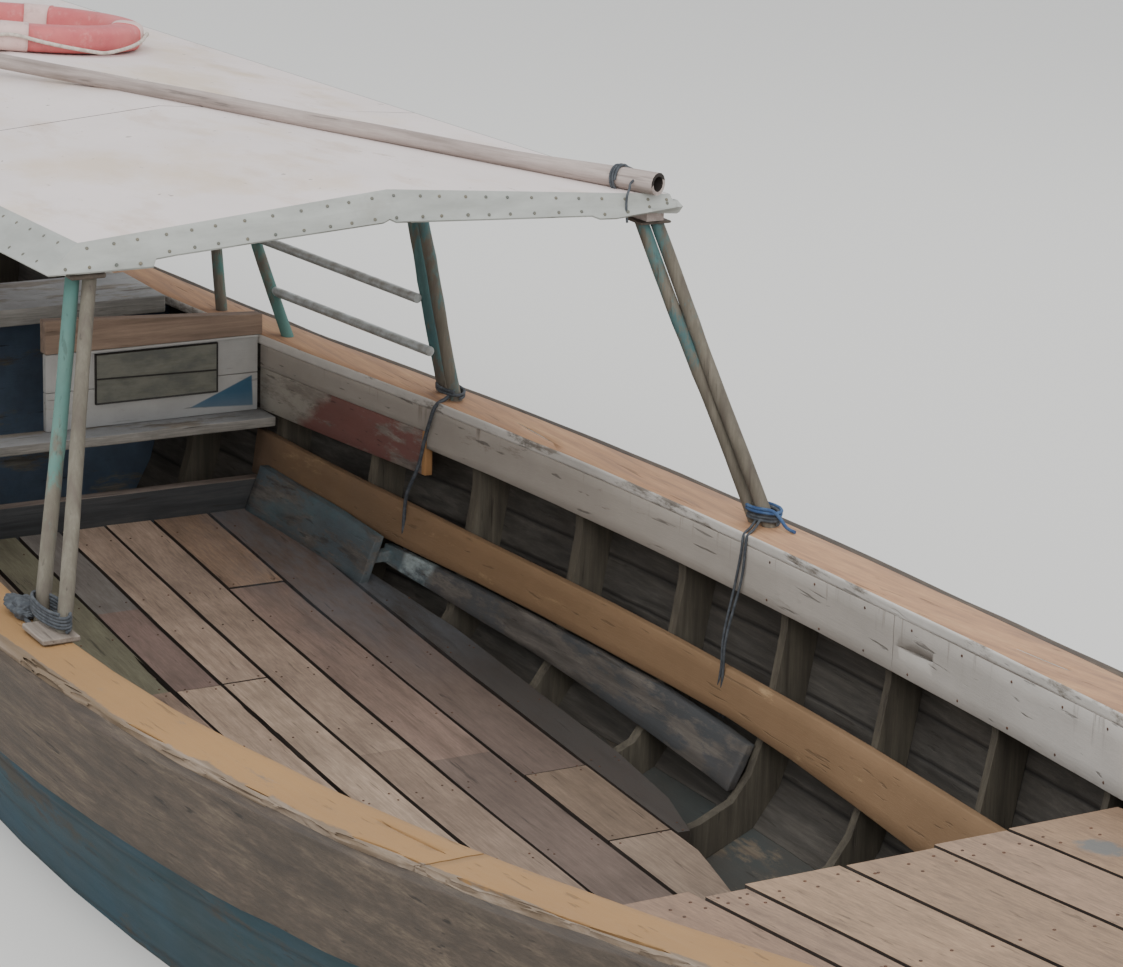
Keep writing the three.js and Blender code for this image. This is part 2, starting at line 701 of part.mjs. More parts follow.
// Fascia: one flared strip round the roof's edge
add('fascia', (() => {
  const corners = [
    [roofFront, -1, 1], [roofFront, 0, 1], [roofFront, 1, 1],
    [roofBack, 1, -1], [roofBack, 0, -1], [roofBack, -1, -1]
  ]
  const rings = corners.map(([x0, side, way]) => {
    const flareOut = side < 0 ? fasciaFlare.starboard : fasciaFlare.port
    const point = (out, flareX, flareY, drop) => {
      const x = x0 + way * (out + flareX)
      const y = side * (roofHalf + out + flareY)
      const crown = roofRidge * (1 - Math.abs(side))
      return new THREE.Vector3(x, y, eaveAt(x0) + crown + sheetThick + gap - drop)
    }
    return [
      point(gap, 0, 0, 0), point(gap, 0, 0, fasciaThick * 3),
      point(gap, fasciaFlareFront, flareOut, fasciaDrop + fasciaThick),
      point(gap + 3, fasciaFlareFront, flareOut, fasciaDrop), point(gap + 3, 0, 0, 0)
    ]
  })
  return closedLoft(rings)
})(), paint.fascia)

// Posts: poles that stand on the caps, held together under the roof frame by a block.
// poles: [foot x, foot y, top x, top y] for each pole of the post
const posts = [
  { name: 'post_front_port', poles: [[606, 978, 422, 722], [655, 988, 432, 758]] },
  { name: 'post_front_starboard', chocked: true, poles: [[611, -905, 434, -754], [752, -908, 456, -722]] },
  { name: 'post_mid_port', poles: [[-812, 836, -900, 722], [-724, 827, -862, 728]] },
  { name: 'post_mid_starboard', poles: [[-812, -836, -900, -722], [-724, -827, -862, -728]] },
  { name: 'post_aft_port', rails: 1, poles: [[-1548, 690, -2028, 620], [-1906, 634, -2046, 622]] },
  {
    name: 'post_aft_starboard', rails: -1,
    poles: [[-1548, -690, -2028, -620], [-1906, -634, -2046, -622]]
  },
  { name: 'post_back_port', poles: [[-3420, 480, -3500, 706], [-3380, 506, -3480, 740]] },
  { name: 'post_back_starboard', poles: [[-3420, -480, -3500, -706], [-3380, -506, -3480, -740]] }
]
// Handrails, carried by the aft post: height, and x and y at the ends
const handrails = [
  { z: 742, from: [-1712, 664], to: [-838, 760] },
  { z: 596, from: [-1630, 680], to: [-800, 783] }
]
const headHalf = 26
const underFrame = (x, y) => Math.abs(y) > 700
  ? slopeAt(x, eaveRailY) - railDeep - railDrop - gap
  : slopeAt(x, Math.abs(y) + headHalf) - rafterDeep - gap
const seatUnder = (x, reach) => Math.max(sheerAt(x - reach), sheerAt(x + reach)) + gap

// Pole with its foot cut level on the cap
const standingPole = ([x0, y0, x1, y1]) => {
  const seat = seatUnder(x0, poleRadius)
  const head = [x1, y1, underFrame(x1, y1) - 20]
  const foot = [x0, y0, seat]
  const below = foot.map((v, k) => v - (head[k] - v) * 0.04)
  return cut(rod(below, head, poleRadius, 14), [box(x0 - 60, x0 + 60, y0 - 60, y0 + 60, seat - 70, seat)])
}
const headBlock = tops => {
  const [xs, ys] = [tops.map(t => t[0]), tops.map(t => t[1])]
  const seat = Math.min(...tops.map(([x, y]) => underFrame(x - 34, y)))
  return box(Math.min(...xs) - 34, Math.max(...xs) + 34,
    Math.min(...ys) - headHalf, Math.max(...ys) + headHalf, seat - 44, seat)
}
const chockUnder = ([x, y]) => {
  const seat = seatUnder(x, 90)
  return box(x - 90, x + 40, y - 62, y + 26, seat, seat + 14)
}
for (const { name, rails, chocked, poles } of posts) {
  const parts = [...poles.map(standingPole), headBlock(poles.map(([, , x, y]) => [x, y]))]
  if (chocked) parts.push(chockUnder(poles.at(-1)))
  for (const { z, from, to } of rails ? handrails : []) {
    parts.push(rod([from[0], rails * from[1], z], [to[0], rails * to[1], z], railRadius, 10))
  }
  add(name, join(parts), paint.turquoise)
}

// Pole and ring buoy, both lying on the port slope of the roof
const slopeTop = (x, y) => eaveAt(x) + roofRidge * (1 - y / roofHalf) + gap + sheetThick
const slopeLength = Math.hypot(1, roofFall, roofRidge / roofHalf)
const lying = (x, y, depth) => [x, y, slopeTop(x, y) + (depth + gap) * slopeLength]
add('roof_pole', (() => {
  const [tip, inside, end] = [[514, 712], [420, 673.2], [-2162, -392]]
    .map(([x, y]) => lying(x, y, roofPoleRadius))
  const beyond = tip.map((v, k) => v + (v - inside[k]) * 0.1)
  return cut(rod(tip, end, roofPoleRadius, 14), [rod(beyond, inside, roofPoleRadius - 9, 12)])
})(), paint.bamboo)

add('lifebuoy', (() => {
  const [radius, across, deep, around] = [305, 52, 42, 12]
  const section = Array.from({ length: around + 1 }, (_, i) => {
    const a = (i / around) * Math.PI * 2
    return new THREE.Vector2(radius + across * Math.cos(a), deep * Math.sin(a))
  })
  const geometry = new THREE.LatheGeometry(section, 28)
  geometry.rotateX(Math.PI / 2 - Math.atan(roofRidge / roofHalf))
  geometry.rotateY(-Math.atan(roofFall))
  return geometry.translate(...lying(-2285, 155, deep))
})(), paint.buoy)

// Motor bracket: a block on the aft deck with the vertical swivel pin
const shoulderZ = 510
const yokeZ = 590
const plateTop = aftDeckTop + 50
const boltPlaces = [[160, -120], [160, 120], [-50, -120], [-50, 120]]
add('motor_bracket', join([
  box(pivotX - 85, pivotX + 200, -170, 170, aftDeckTop + gap, plateTop),
  rod([pivotX, 0, plateTop - 10], [pivotX, 0, shoulderZ], 70, 16, 52),
  rod([pivotX, 0, shoulderZ - 10], [pivotX, 0, yokeZ - 12], pinRadius, 20),
  ...boltPlaces.map(([x, y]) =>
    rod([pivotX + x, y, plateTop - 10], [pivotX + x, y, plateTop + 14], 14, 6))
]), paint.darkSteel)

// Yoke: sleeve on the swivel pin and two cheeks that hold the trunnions
const trunnionBore = rod([pivotX, -200, tiltZ], [pivotX, 200, tiltZ], trunnionRadius + 1, 16)
const cheeks = sides.map(({ sign }) => {
  const y = [sign * cheekInside, sign * (cheekInside + cheekThick)].sort((a, b) => a - b)
  return join([
    box(pivotX - 42, pivotX + 42, ...y, yokeZ + 5, tiltZ),
    rod([pivotX, y[0], tiltZ], [pivotX, y[1], tiltZ], 42, 20)
  ])
})
add('motor_yoke', cut(join([
  rod([pivotX, 0, shoulderZ + gap], [pivotX, 0, yokeZ + 5], 46, 20),
  box(pivotX - 60, pivotX + 60, -cheekInside - cheekThick, cheekInside + cheekThick, yokeZ, yokeZ + 18),
  ...cheeks
]), [
  rod([pivotX, 0, shoulderZ - 20], [pivotX, 0, yokeZ - 8], pinRadius + 0.9, 20),
  trunnionBore
]), paint.castMetal)

// The motor is built along its own crankshaft, forwards from the tilt axis, and then sloped
const motorPiece = (name, geometry, look) => {
  geometry.rotateY(THREE.MathUtils.degToRad(-shaftSlope))
  add(name, geometry.translate(pivotX, 0, tiltZ), look)
}
const railY = 104
const railThick = 18
const trunnionEnd = cheekInside + cheekThick + 12
motorPiece('engine_cradle', join([
  box(-170, 330, railY, railY + railThick, -22, 22),
  box(-170, 330, -railY - railThick, -railY, -22, 22),
  box(-170, -140, -railY - 5, railY + 5, -22, -4),
  box(300, 330, -railY - 5, railY + 5, -22, 4),
  ...sides.map(({ sign }) =>
    rod([0, sign * (railY + 10), 0], [0, sign * trunnionEnd, 0], trunnionRadius, 16))
]), paint.darkSteel)

const blockFrom = -110
const blockTo = 330
const headZ = 250
const cylinders = [-60, 48, 156, 264]
motorPiece('engine_block', join([
  box(blockFrom, blockTo, -92, 92, 24.3, 120),
  box(40, 290, -80, 80, -100, 30),
  box(blockFrom + 14, blockTo - 14, -78, 78, 110, 215),
  box(blockFrom + 6, blockTo - 6, -88, 88, 205, headZ),
  ...cylinders.map(u => box(u - 34, u + 34, -86, -70, 120, 200))
]), paint.engineRed)
motorPiece('valve_cover', join([
  box(blockFrom + 20, blockTo - 20, -52, 52, headZ + gap, headZ + 46),
  box(blockFrom + 34, blockTo - 34, -38, 38, headZ + 40, headZ + 62),
  rod([90, 0, headZ + 55], [90, 0, headZ + 84], 24, 12)
]), paint.castMetal)

// Pulleys and fan on the nose, with the belt round them
const nose = blockTo + gap
const [crankPulley, fanPulley, fanRise] = [62, 46, 190]
const beltOutline = [
  [-crankPulley, shaftRise], [crankPulley, shaftRise], [fanPulley, fanRise], [-fanPulley, fanRise]
]
motorPiece('fan_and_pulleys', join([
  rod([nose, 0, shaftRise], [nose + 46, 0, shaftRise], crankPulley, 20),
  rod([nose + 36, 0, shaftRise], [nose + 70, 0, shaftRise], 26, 12),
  rod([nose, 0, fanRise], [nose + 50, 0, fanRise], fanPulley, 18),
  loft([nose + 16, nose + 34].map(u => ringAt(u, beltOutline))),
  ...[0, 1, 2, 3].map(k => {
    const blade = box(52, 58, -24, 24, 20, 128)
    return blade.rotateX((k * Math.PI) / 2).translate(nose, 0, fanRise)
  }),
  rod([nose + 45, 0, fanRise], [nose + 64, 0, fanRise], 34, 14)
]), paint.darkSteel)
motorPiece('alternator', join([
  rod([150, 132, 150], [270, 132, 150], 40, 16),
  box(180, 230, 78 + gap, 120, 130, 168),
  rod([262, 132, 150], [300, 132, 150], 22, 14)
]), paint.castMetal)
motorPiece('air_filter', join([
  rod([40, -172, 196], [40, -172, 316], 78, 20),
  rod([40, -172, 308], [40, -172, 330], 30, 12),
  box(24, 60, -150, -88 - gap, 212, 246)
]), paint.darkSteel)
motorPiece('exhaust', join([
  ...cylinders.map(u => rod([u, 88 + gap, 226], [u, 118, 226], 17, 10)),
  rod([-78, 118, 226], [282, 118, 226], 22, 12),
  rod([-60, 118, 226], [-260, 150, 300], 24, 12),
  rod([-240, 147, 293], [-560, 196, 402], 42, 16),
  rod([-545, 194, 397], [-640, 208, 430], 20, 12)
]), paint.darkSteel)
motorPiece('bell_housing', (() => {
  const back = blockFrom - gap
  return join([
    rod([back, 0, shaftRise + 30], [back - 30, 0, shaftRise + 30], 96, 20, 90),
    rod([back - 25, 0, shaftRise + 30], [back - 150, 0, shaftRise], 88, 20, 48),
    rod([back - 145, 0, shaftRise], [back - 175, 0, shaftRise], 56, 18)
  ])
})(), paint.castMetal)

// Long shaft tube with its stay and the skeg under the propeller
const tubeFrom = blockFrom - 176
const tubeTo = -shaftLength + 60
motorPiece('shaft_tube', cut(join([
  rod([tubeFrom, 0, shaftRise], [tubeFrom - 26, 0, shaftRise], 54, 18),
  rod([tubeFrom - 20, 0, shaftRise], [tubeTo, 0, shaftRise], shaftTube, 16),
  rod([tubeFrom - 300, 0, shaftRise - 8], [tubeFrom - 1150, 0, shaftRise - 92], 11, 10),
  rod([tubeTo + 300, 0, shaftRise - 10], [tubeFrom - 1145, 0, shaftRise - 92], 11, 10),
  box(tubeFrom - 1160, tubeFrom - 1136, -6, 6, shaftRise - 100, shaftRise - 20),
  rod([tubeTo + 90, 0, shaftRise], [tubeTo, 0, shaftRise], shaftTube + 9, 16),
  loft([-5, 5].map(y => [
    [tubeTo + 260, shaftRise - 20], [tubeTo + 30, shaftRise - 30], [tubeTo - 10, shaftRise - 110],
    [tubeTo - 60, shaftRise - 190], [tubeTo - 20, shaftRise - 196], [tubeTo + 60, shaftRise - 120]
  ].map(([u, w]) => new THREE.Vector3(u, y, w))))
]), [
  rod([tubeTo + 70, 0, shaftRise], [tubeTo - 10, 0, shaftRise], 13.2, 16)
]), paint.steel)

motorPiece('propeller', (() => {
  const hubFrom = tubeTo - 6
  const blades = Array.from({ length: propellerBlades }, (_, k) => {
    const sections = [
      { r: 16, chord: 26, twist: 62 }, { r: 55, chord: 40, twist: 40 },
      { r: 95, chord: 44, twist: 28 }, { r: propellerRadius, chord: 22, twist: 22 }
    ]
    const rings = sections.map(({ r, chord, twist }) => {
      const a = THREE.MathUtils.degToRad(twist)
      const corner = (c, t) => new THREE.Vector3(
        c * Math.sin(a) + t * Math.cos(a), c * Math.cos(a) - t * Math.sin(a), r)
      return [corner(-chord, 0), corner(0, -3.5), corner(chord, 0), corner(0, 3.5)]
    })
    return loft(rings).rotateX((k * 2 * Math.PI) / propellerBlades).translate(hubFrom - 34, 0, shaftRise)
  })
  return join([
    rod([tubeTo + 56, 0, shaftRise], [hubFrom - 10, 0, shaftRise], 12.5, 16),
    rod([hubFrom, 0, shaftRise], [hubFrom - 72, 0, shaftRise], 27, 16, 23),
    rod([hubFrom - 70, 0, shaftRise], [hubFrom - 100, 0, shaftRise], 16, 6, 12),
    ...blades
  ])
})(), paint.brass)

motorPiece('fuel_tank', join([
  box(-100, 60, -72, 72, headZ + 92, headZ + 232),
  rod([-20, 0, headZ + 228], [-20, 0, headZ + 250], 24, 12),
  ...[[-84, -62], [-84, 62], [44, -62], [44, 62]].map(([u, v]) =>
    box(u - 8, u + 8, v - 8, v + 8, headZ + gap, headZ + 96))
]), paint.plate)

// Tiller: bar from the cradle's nose, up and forwards to the grip
motorPiece('tiller', (() => {
  const path = [[300, 140, 0], [470, 140, 40], [700, 60, 60], [1000, 20, -60]]
  const bars = path.slice(1).map((p, i) => rod(path[i], p, 15, 12))
  const grip = rod([880, 36, -12], [1002, 20, -61], 19, 12)
  const foot = box(240, 316, railY + 18 + gap, 154, -16, 16)
  return join([...bars, grip, foot])
})(), paint.rail)

export default boat
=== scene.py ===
import json
import math
import random

import bpy
from mathutils import Matrix, Vector, noise
from mathutils.bvhtree import BVHTree


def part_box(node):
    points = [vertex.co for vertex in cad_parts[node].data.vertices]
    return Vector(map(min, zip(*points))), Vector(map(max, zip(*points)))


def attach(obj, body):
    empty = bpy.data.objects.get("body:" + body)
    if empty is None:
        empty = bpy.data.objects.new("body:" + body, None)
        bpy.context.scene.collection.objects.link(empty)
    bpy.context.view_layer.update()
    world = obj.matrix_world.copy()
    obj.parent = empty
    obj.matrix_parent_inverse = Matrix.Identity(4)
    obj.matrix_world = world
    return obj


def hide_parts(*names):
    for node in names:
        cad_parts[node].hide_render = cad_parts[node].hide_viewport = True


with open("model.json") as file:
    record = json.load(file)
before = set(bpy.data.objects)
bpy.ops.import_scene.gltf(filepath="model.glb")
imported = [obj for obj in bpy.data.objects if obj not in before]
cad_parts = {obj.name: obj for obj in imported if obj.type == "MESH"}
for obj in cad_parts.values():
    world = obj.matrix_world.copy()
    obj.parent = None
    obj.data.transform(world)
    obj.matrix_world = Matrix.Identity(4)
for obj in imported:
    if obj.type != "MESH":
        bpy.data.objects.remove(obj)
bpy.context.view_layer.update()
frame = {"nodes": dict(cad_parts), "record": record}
nodes = frame["nodes"]
slotOf = {entry["node"]: entry["material_slot"] for entry in frame["record"]["subparts"]}
print("frame loaded:", len(nodes), "nodes")
noise.seed_set(7)  # left alone, noise_vector is different in every run


# camera, where the photo was taken from
camera = {
    "place": (7.440, -3.468, 2.967),
    "right": (0.486, 0.8734, 0.0314),
    "up": (-0.2628, 0.1118, 0.9583),
    "ahead": (-0.8335, 0.474, -0.2839),
    "lens": 109.585,
}


def addObject(name, data):
    obj = bpy.data.objects.new(name, data)
    bpy.context.scene.collection.objects.link(obj)
    return obj


def addCamera():
    data = bpy.data.cameras.new("camera")
    data.lens = camera["lens"]
    data.sensor_width = 36
    data.clip_end = 200
    obj = addObject("camera", data)
    right, up, ahead = (Vector(camera[k]).normalized() for k in ("right", "up", "ahead"))
    turn = Matrix((right, up, -ahead)).transposed()
    obj.matrix_world = Matrix.Translation(camera["place"]) @ turn.to_4x4()
    bpy.context.scene.camera = obj


addCamera()


# small helpers for picking and shaping
def deselectAll():
    for obj in bpy.context.selected_objects:
        obj.select_set(False)


def pick(obj):
    deselectAll()
    obj.select_set(True)
    bpy.context.view_layer.objects.active = obj


def settle(obj):
    pick(obj)
    bpy.ops.object.transform_apply(location=True, rotation=True, scale=True)


def applyModifiers(obj):
    pick(obj)
    for modifier in list(obj.modifiers):
        bpy.ops.object.modifier_apply(modifier=modifier.name)


def joinPieces(pieces, name):
    deselectAll()
    for piece in pieces:
        piece.select_set(True)
    bpy.context.view_layer.objects.active = pieces[0]
    if len(pieces) > 1:
        bpy.ops.object.join()
    pieces[0].name = name
    pieces[0].data.name = name
    return pieces[0]


def selectFaces(obj, rule):
    for part in (obj.data.vertices, obj.data.edges, obj.data.polygons):
        part.foreach_set("select", [False] * len(part))
    for polygon in obj.data.polygons:
        polygon.select = rule(polygon)
    pick(obj)
    bpy.context.tool_settings.mesh_select_mode = (False, False, True)
    bpy.ops.object.mode_set(mode="EDIT")


def startEdit(obj):
    pick(obj)
    bpy.ops.object.mode_set(mode="EDIT")
    bpy.ops.mesh.select_all(action="SELECT")


def stopEdit():
    bpy.ops.object.mode_set(mode="OBJECT")


# how a node's triangles are joined up: in flat faces, or in quads along a bent surface
welding = {"apart": 0.00005, "flat": 0.5, "bend": 12, "skew": 70}


def copyNode(nodeName, name, quads=False):
    obj = addObject(name, nodes[nodeName].data.copy())
    obj.data.materials.clear()
    startEdit(obj)
    bpy.ops.mesh.remove_doubles(threshold=welding["apart"])
    if quads:
        bpy.ops.mesh.tris_convert_to_quads(face_threshold=math.radians(welding["bend"]),
                                           shape_threshold=math.radians(welding["skew"]))
    else:
        bpy.ops.mesh.dissolve_limited(angle_limit=math.radians(welding["flat"]))
    stopEdit()
    return obj


def bevelEdges(obj, width, segments=1, angle=35):
    bevel = obj.modifiers.new("soft edges", "BEVEL")
    bevel.width = width
    bevel.segments = segments
    bevel.limit_method = "ANGLE"
    bevel.angle_limit = math.radians(angle)
    applyModifiers(obj)


def smoothByAngle(obj, angle=35):
    pick(obj)
    bpy.ops.object.shade_smooth_by_angle(angle=math.radians(angle))


# edges across a mesh, at right angles to one axis
def sliceAcross(obj, axis, places):
    normal = [float(axis == name) for name in "xyz"]
    startEdit(obj)
    for place in places:
        bpy.ops.mesh.select_all(action="SELECT")
        bpy.ops.mesh.bisect(plane_co=[place * part for part in normal], plane_no=normal)
    stopEdit()


# weather: moves points a little across the grain, by a noise drawn out along it
def weather(obj, amount, stretch=(1.1, 8, 8), seed=0.0, share=None):
    offset = Vector((seed * 7.3, seed * 3.7, seed * 5.1))
    for vertex in obj.data.vertices:
        place = Vector([a * b for a, b in zip(vertex.co, stretch)]) + offset
        push = noise.noise_vector(place) * amount
        scale = share(vertex.co) if share else 1.0
        vertex.co += Vector((0, push.y, push.z)) * scale


def addBox(low, high):
    deselectAll()
    middle = [(a + b) / 2 for a, b in zip(low, high)]
    bpy.ops.mesh.primitive_cube_add(size=1, location=middle)
    obj = bpy.context.object
    obj.scale = [b - a for a, b in zip(low, high)]
    settle(obj)
    return obj


def addRod(start, end, radius, sides=12, radiusTo=None):
    start, end = Vector(start), Vector(end)
    deselectAll()
    bpy.ops.mesh.primitive_cone_add(
        vertices=sides, radius1=radius, radius2=radius if radiusTo is None else radiusTo,
        depth=(end - start).length, location=(start + end) / 2)
    obj = bpy.context.object
    obj.rotation_euler = (end - start).to_track_quat("Z", "Y").to_euler()
    settle(obj)
    return obj


def addRope(points, radius, closed=False, sides=4):
    curve = bpy.data.curves.new("rope", "CURVE")
    curve.dimensions = "3D"
    curve.bevel_depth = radius
    curve.bevel_resolution = sides // 2
    curve.resolution_u = 6
    curve.use_fill_caps = True
    spline = curve.splines.new("NURBS")
    spline.points.add(len(points) - 1)
    for point, place in zip(spline.points, points):
        point.co = (*place, 1)
    spline.order_u = 4
    spline.use_cyclic_u = closed
    spline.use_endpoint_u = not closed
    pick(addObject("rope", curve))
    bpy.ops.object.convert(target="MESH")
    return bpy.context.object


def cutAway(obj, cutter):
    difference = obj.modifiers.new("cut", "BOOLEAN")
    difference.operation = "DIFFERENCE"
    difference.solver = "EXACT"
    difference.object = cutter
    applyModifiers(obj)
    bpy.data.objects.remove(cutter)


# a number on each face or point, for the materials to read
def gradeFaces(obj, name, rule):
    layer = obj.data.attributes.new(name, "FLOAT", "FACE")
    for polygon in obj.data.polygons:
        layer.data[polygon.index].value = rule(polygon.center, polygon.normal)


def gradePoints(obj, name, rule):
    layer = obj.data.attributes.new(name, "FLOAT", "POINT")
    for vertex in obj.data.vertices:
        layer.data[vertex.index].value = rule(vertex.co)


# plank colours by face; the steep side and end faces of the planks are painted dark brown, as painted shade
# in the gaps between them
def tintPlanksShadeSides(obj, rule):
    layer = obj.data.attributes.new("tint", "FLOAT_COLOR", "FACE")
    for polygon in obj.data.polygons:
        paintedShadeFace = abs(polygon.normal.z) < 0.6
        layer.data[polygon.index].color = linear("#2b231d" if paintedShadeFace else rule(polygon.center))


def finishPiece(obj, slotName, material, replaced=(), body="boat", name=None):
    obj.name = name or obj.name
    obj.data.materials.clear()
    obj.data.materials.append(material)
    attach(obj, body)
    if replaced:
        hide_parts(*replaced)


# materials
def linear(hexColour):
    parts = [int(hexColour[i:i + 2], 16) / 255 for i in (1, 3, 5)]
    return [((v + 0.055) / 1.055) ** 2.4 if v > 0.04 else v / 12.92 for v in parts] + [1.0]


class NodeDesk:
    def __init__(self, name):
        self.material = bpy.data.materials.new(name)
        self.material.use_nodes = True
        self.tree = self.material.node_tree
        self.shader = self.tree.nodes["Principled BSDF"]
        self.place = self.add("ShaderNodeTexCoord", {}, "Object")

    def put(self, node, socket, value):
        target = node.inputs[socket]
        if isinstance(value, bpy.types.NodeSocket):
            self.tree.links.new(value, target)
        else:
            target.default_value = value

    # a node with its sockets filled; returns one of its outputs
    def add(self, kind, sockets, output, **settings):
        node = self.tree.nodes.new(kind)
        for key, value in settings.items():
            setattr(node, key, value)
        for socket, value in sockets.items():
            self.put(node, socket, value)
        return node.outputs[output]

    def stretched(self, scale, shift=(0, 0, 0), turn=0.0):
        source = self.place
        if turn:
            turned = {"Vector": source, "Rotation": (0, 0, math.radians(turn))}
            source = self.add("ShaderNodeMapping", turned, "Vector")
        sockets = {"Vector": source, "Scale": scale, "Location": shift}
        return self.add("ShaderNodeMapping", sockets, "Vector")

    def noise(self, vector, scale, detail=5, rough=0.6, distortion=0.0):
        return self.add("ShaderNodeTexNoise", {"Vector": vector, "Scale": scale, "Detail": detail,
                                               "Roughness": rough, "Distortion": distortion}, "Fac")

    def ramp(self, value, stops):
        colours = self.add("ShaderNodeValToRGB", {"Fac": value}, "Color")
        elements = colours.node.color_ramp.elements
        while len(elements) < len(stops):
            elements.new(0.5)
        for element, (at, colour) in zip(elements, stops):
            element.position = at
            element.color = linear(colour) if isinstance(colour, str) else (colour, colour, colour, 1)
        return colours

    # nothing up to low, then rising to full at high
    def fade(self, value, low, high, full=1.0):
        return self.ramp(value, [(low, 0.0), (high, full)])

    def mix(self, share, a, b, blend="MIX"):
        a, b = (linear(value) if isinstance(value, str) else value for value in (a, b))
        return self.add("ShaderNodeMix", {0: share, 6: a, 7: b}, 2, data_type="RGBA", blend_type=blend)

    # a tint over a colour wherever a value rises from low to high
    def stain(self, colour, tint, value, low, high, full=1.0):
        return self.mix(self.fade(value, low, high, full), colour, tint)

    def math(self, operation, a, b=0.0, clamp=False):
        return self.add("ShaderNodeMath", {0: a, 1: b}, 0, operation=operation, use_clamp=clamp)

    def times(self, a, b):
        return self.math("MULTIPLY", a, b)

    def plus(self, a, b, clamp=False):
        return self.math("ADD", a, b, clamp)

    def minus(self, a, b, clamp=False):
        return self.math("SUBTRACT", a, b, clamp)

    def attribute(self, name, output="Fac"):
        return self.add("ShaderNodeAttribute", {}, output, attribute_name=name)

    def axis(self, name):
        return self.add("ShaderNodeSeparateXYZ", {0: self.place}, name)

    def above(self, value, limit, soft=0.004):
        return self.plus(self.math("DIVIDE", self.minus(value, limit), soft), 0.5, clamp=True)

    def bump(self, height, strength, distance, before=None):
        sockets = {"Strength": strength, "Distance": distance, "Height": height}
        if before:
            sockets["Normal"] = before
        return self.add("ShaderNodeBump", sockets, "Normal")

    def finish(self, colour, roughness, normal=None, metallic=0.0):
        sockets = {"Base Color": colour, "Roughness": roughness, "Metallic": metallic}
        if normal:
            sockets["Normal"] = normal
        for socket, value in sockets.items():
            self.put(self.shader, socket, value)
        return self.material


# the grain runs along one axis: a noise squeezed across it
grainScales = {"x": (0.8, 13, 13), "y": (13, 0.8, 13), "z": (13, 13, 0.8)}
woodRough = {"dark": 0.72, "light": 0.9}


# the settings of a wood: its dark, bare and light tones, two tones of paint and how far that is worn
def wood(seed, tones, paints="", wear=0.0, **more):
    look = {"seed": seed, "wear": wear, **more}
    look.update(zip(("dark", "bare", "light"), tones.split()))
    look.update(zip(("paint", "paintToo"), paints.split()))
    return look


# the settings of a plain material: its clean and worn tones and its roughness
def plain(tones, rough, **more):
    return {"rough": rough, **dict(zip(("colour", "worn"), tones.split())), **more}


# bare wood, with paint over it where the look has one; returns colour, roughness and normal
def woodLayers(desk, look):
    run = grainScales[look.get("run", "x")]
    turn = look.get("turn", 0.0)
    seed = look.get("seed", 0)
    shift = (seed * 3.1, seed * 1.7, seed * 2.3)
    if look.get("planks"):
        parts = {axis: desk.times(desk.attribute("shift"), 3.0 + axis) for axis in range(3)}
        shift = desk.add("ShaderNodeCombineXYZ", parts, 0)
    along = desk.stretched(run, shift, turn)
    level = desk.stretched((1, 1, 1), shift)
    grain = desk.noise(along, 2.6, 8, 0.62, 0.4)
    fibre = desk.noise(along, 15, 6, 0.7)
    smudge = desk.noise(desk.stretched((0.7, 1.6, 1.6), shift), look.get("patchScale", 2.2), 6, 0.62)
    if look.get("planks"):
        # each plank's own colour, with painted shade on the plank sides
        tint = desk.attribute("tint", "Color")
        tone = desk.ramp(grain, [(0.28, "#c6c2bf"), (0.5, "#f2f1f0"), (0.7, "#ffffff")])
        colour = desk.mix(1.0, tint, tone, "MULTIPLY")
        dark = "#4b3f37"
    else:
        colour = desk.ramp(grain, [(0.3, look["dark"]), (0.5, look["bare"]), (0.72, look["light"])])
        dark = look["dark"]
    fine = desk.times(desk.ramp(fibre, [(0.4, 1.0), (0.62, 0.0)]), look.get("fibre", 0.32))
    colour = desk.mix(fine, colour, dark)
    covered = None
    if "paint" in look:
        squeeze = tuple(1 + (v - 1) * look.get("chipRun", 0.22) for v in run)
        chips = desk.noise(desk.stretched(squeeze, shift, turn), look.get("chipScale", 2.6), 10, 0.72)
        if look.get("shared"):
            chips = desk.plus(chips, desk.times(desk.attribute(look["shared"]), 0.5))
        wornTo = 0.5 + 0.34 * (look["wear"] - 0.5)
        covered = desk.fade(chips, wornTo - 0.03, wornTo + 0.04)
        paint = desk.mix(desk.fade(smudge, 0.36, 0.64), look["paint"], look["paintToo"])
        colour = desk.mix(covered, colour, paint)
    dirt = desk.fade(desk.noise(level, look.get("dirtScale", 3.0), 8, 0.68), 0.42, 0.74)
    colour = desk.mix(desk.times(dirt, look.get("dirt", 0.45)), colour,
                      look.get("dirtColour", "#3b352d"))
    crack = desk.fade(desk.noise(along, 5.5, 3, 0.5), 0.29, 0.34)
    colour = desk.mix(desk.times(desk.minus(1.0, crack), look.get("cracks", 0.5)),
                      colour, "#2a241e")
    rough = desk.ramp(grain, [(0.3, woodRough["dark"]), (0.7, woodRough["light"])])
    normal = desk.bump(fibre, look.get("grainBump", 0.3), 0.003)
    normal = desk.bump(crack, look.get("crackBump", 0.45), 0.004, normal)
    if covered:
        normal = desk.bump(covered, 0.2, 0.0015, normal)
    return colour, rough, normal


def woodMaterial(name, look):
    desk = NodeDesk(name)
    return desk.finish(*woodLayers(desk, look))


def plainMaterial(name, look):
    desk = NodeDesk(name)
    spots = desk.noise(desk.place, look.get("scale", 9), 8, 0.7)
    colour = desk.mix(desk.fade(spots, 0.42, 0.62), look["colour"], look["worn"])
    rough = desk.ramp(spots, [(0.35, look["rough"]), (0.7, min(look["rough"] + 0.2, 1))])
    normal = desk.bump(desk.noise(desk.place, 90, 3), look.get("bump", 0.1), 0.001)
    return desk.finish(colour, rough, normal, look.get("metal", 0.0))


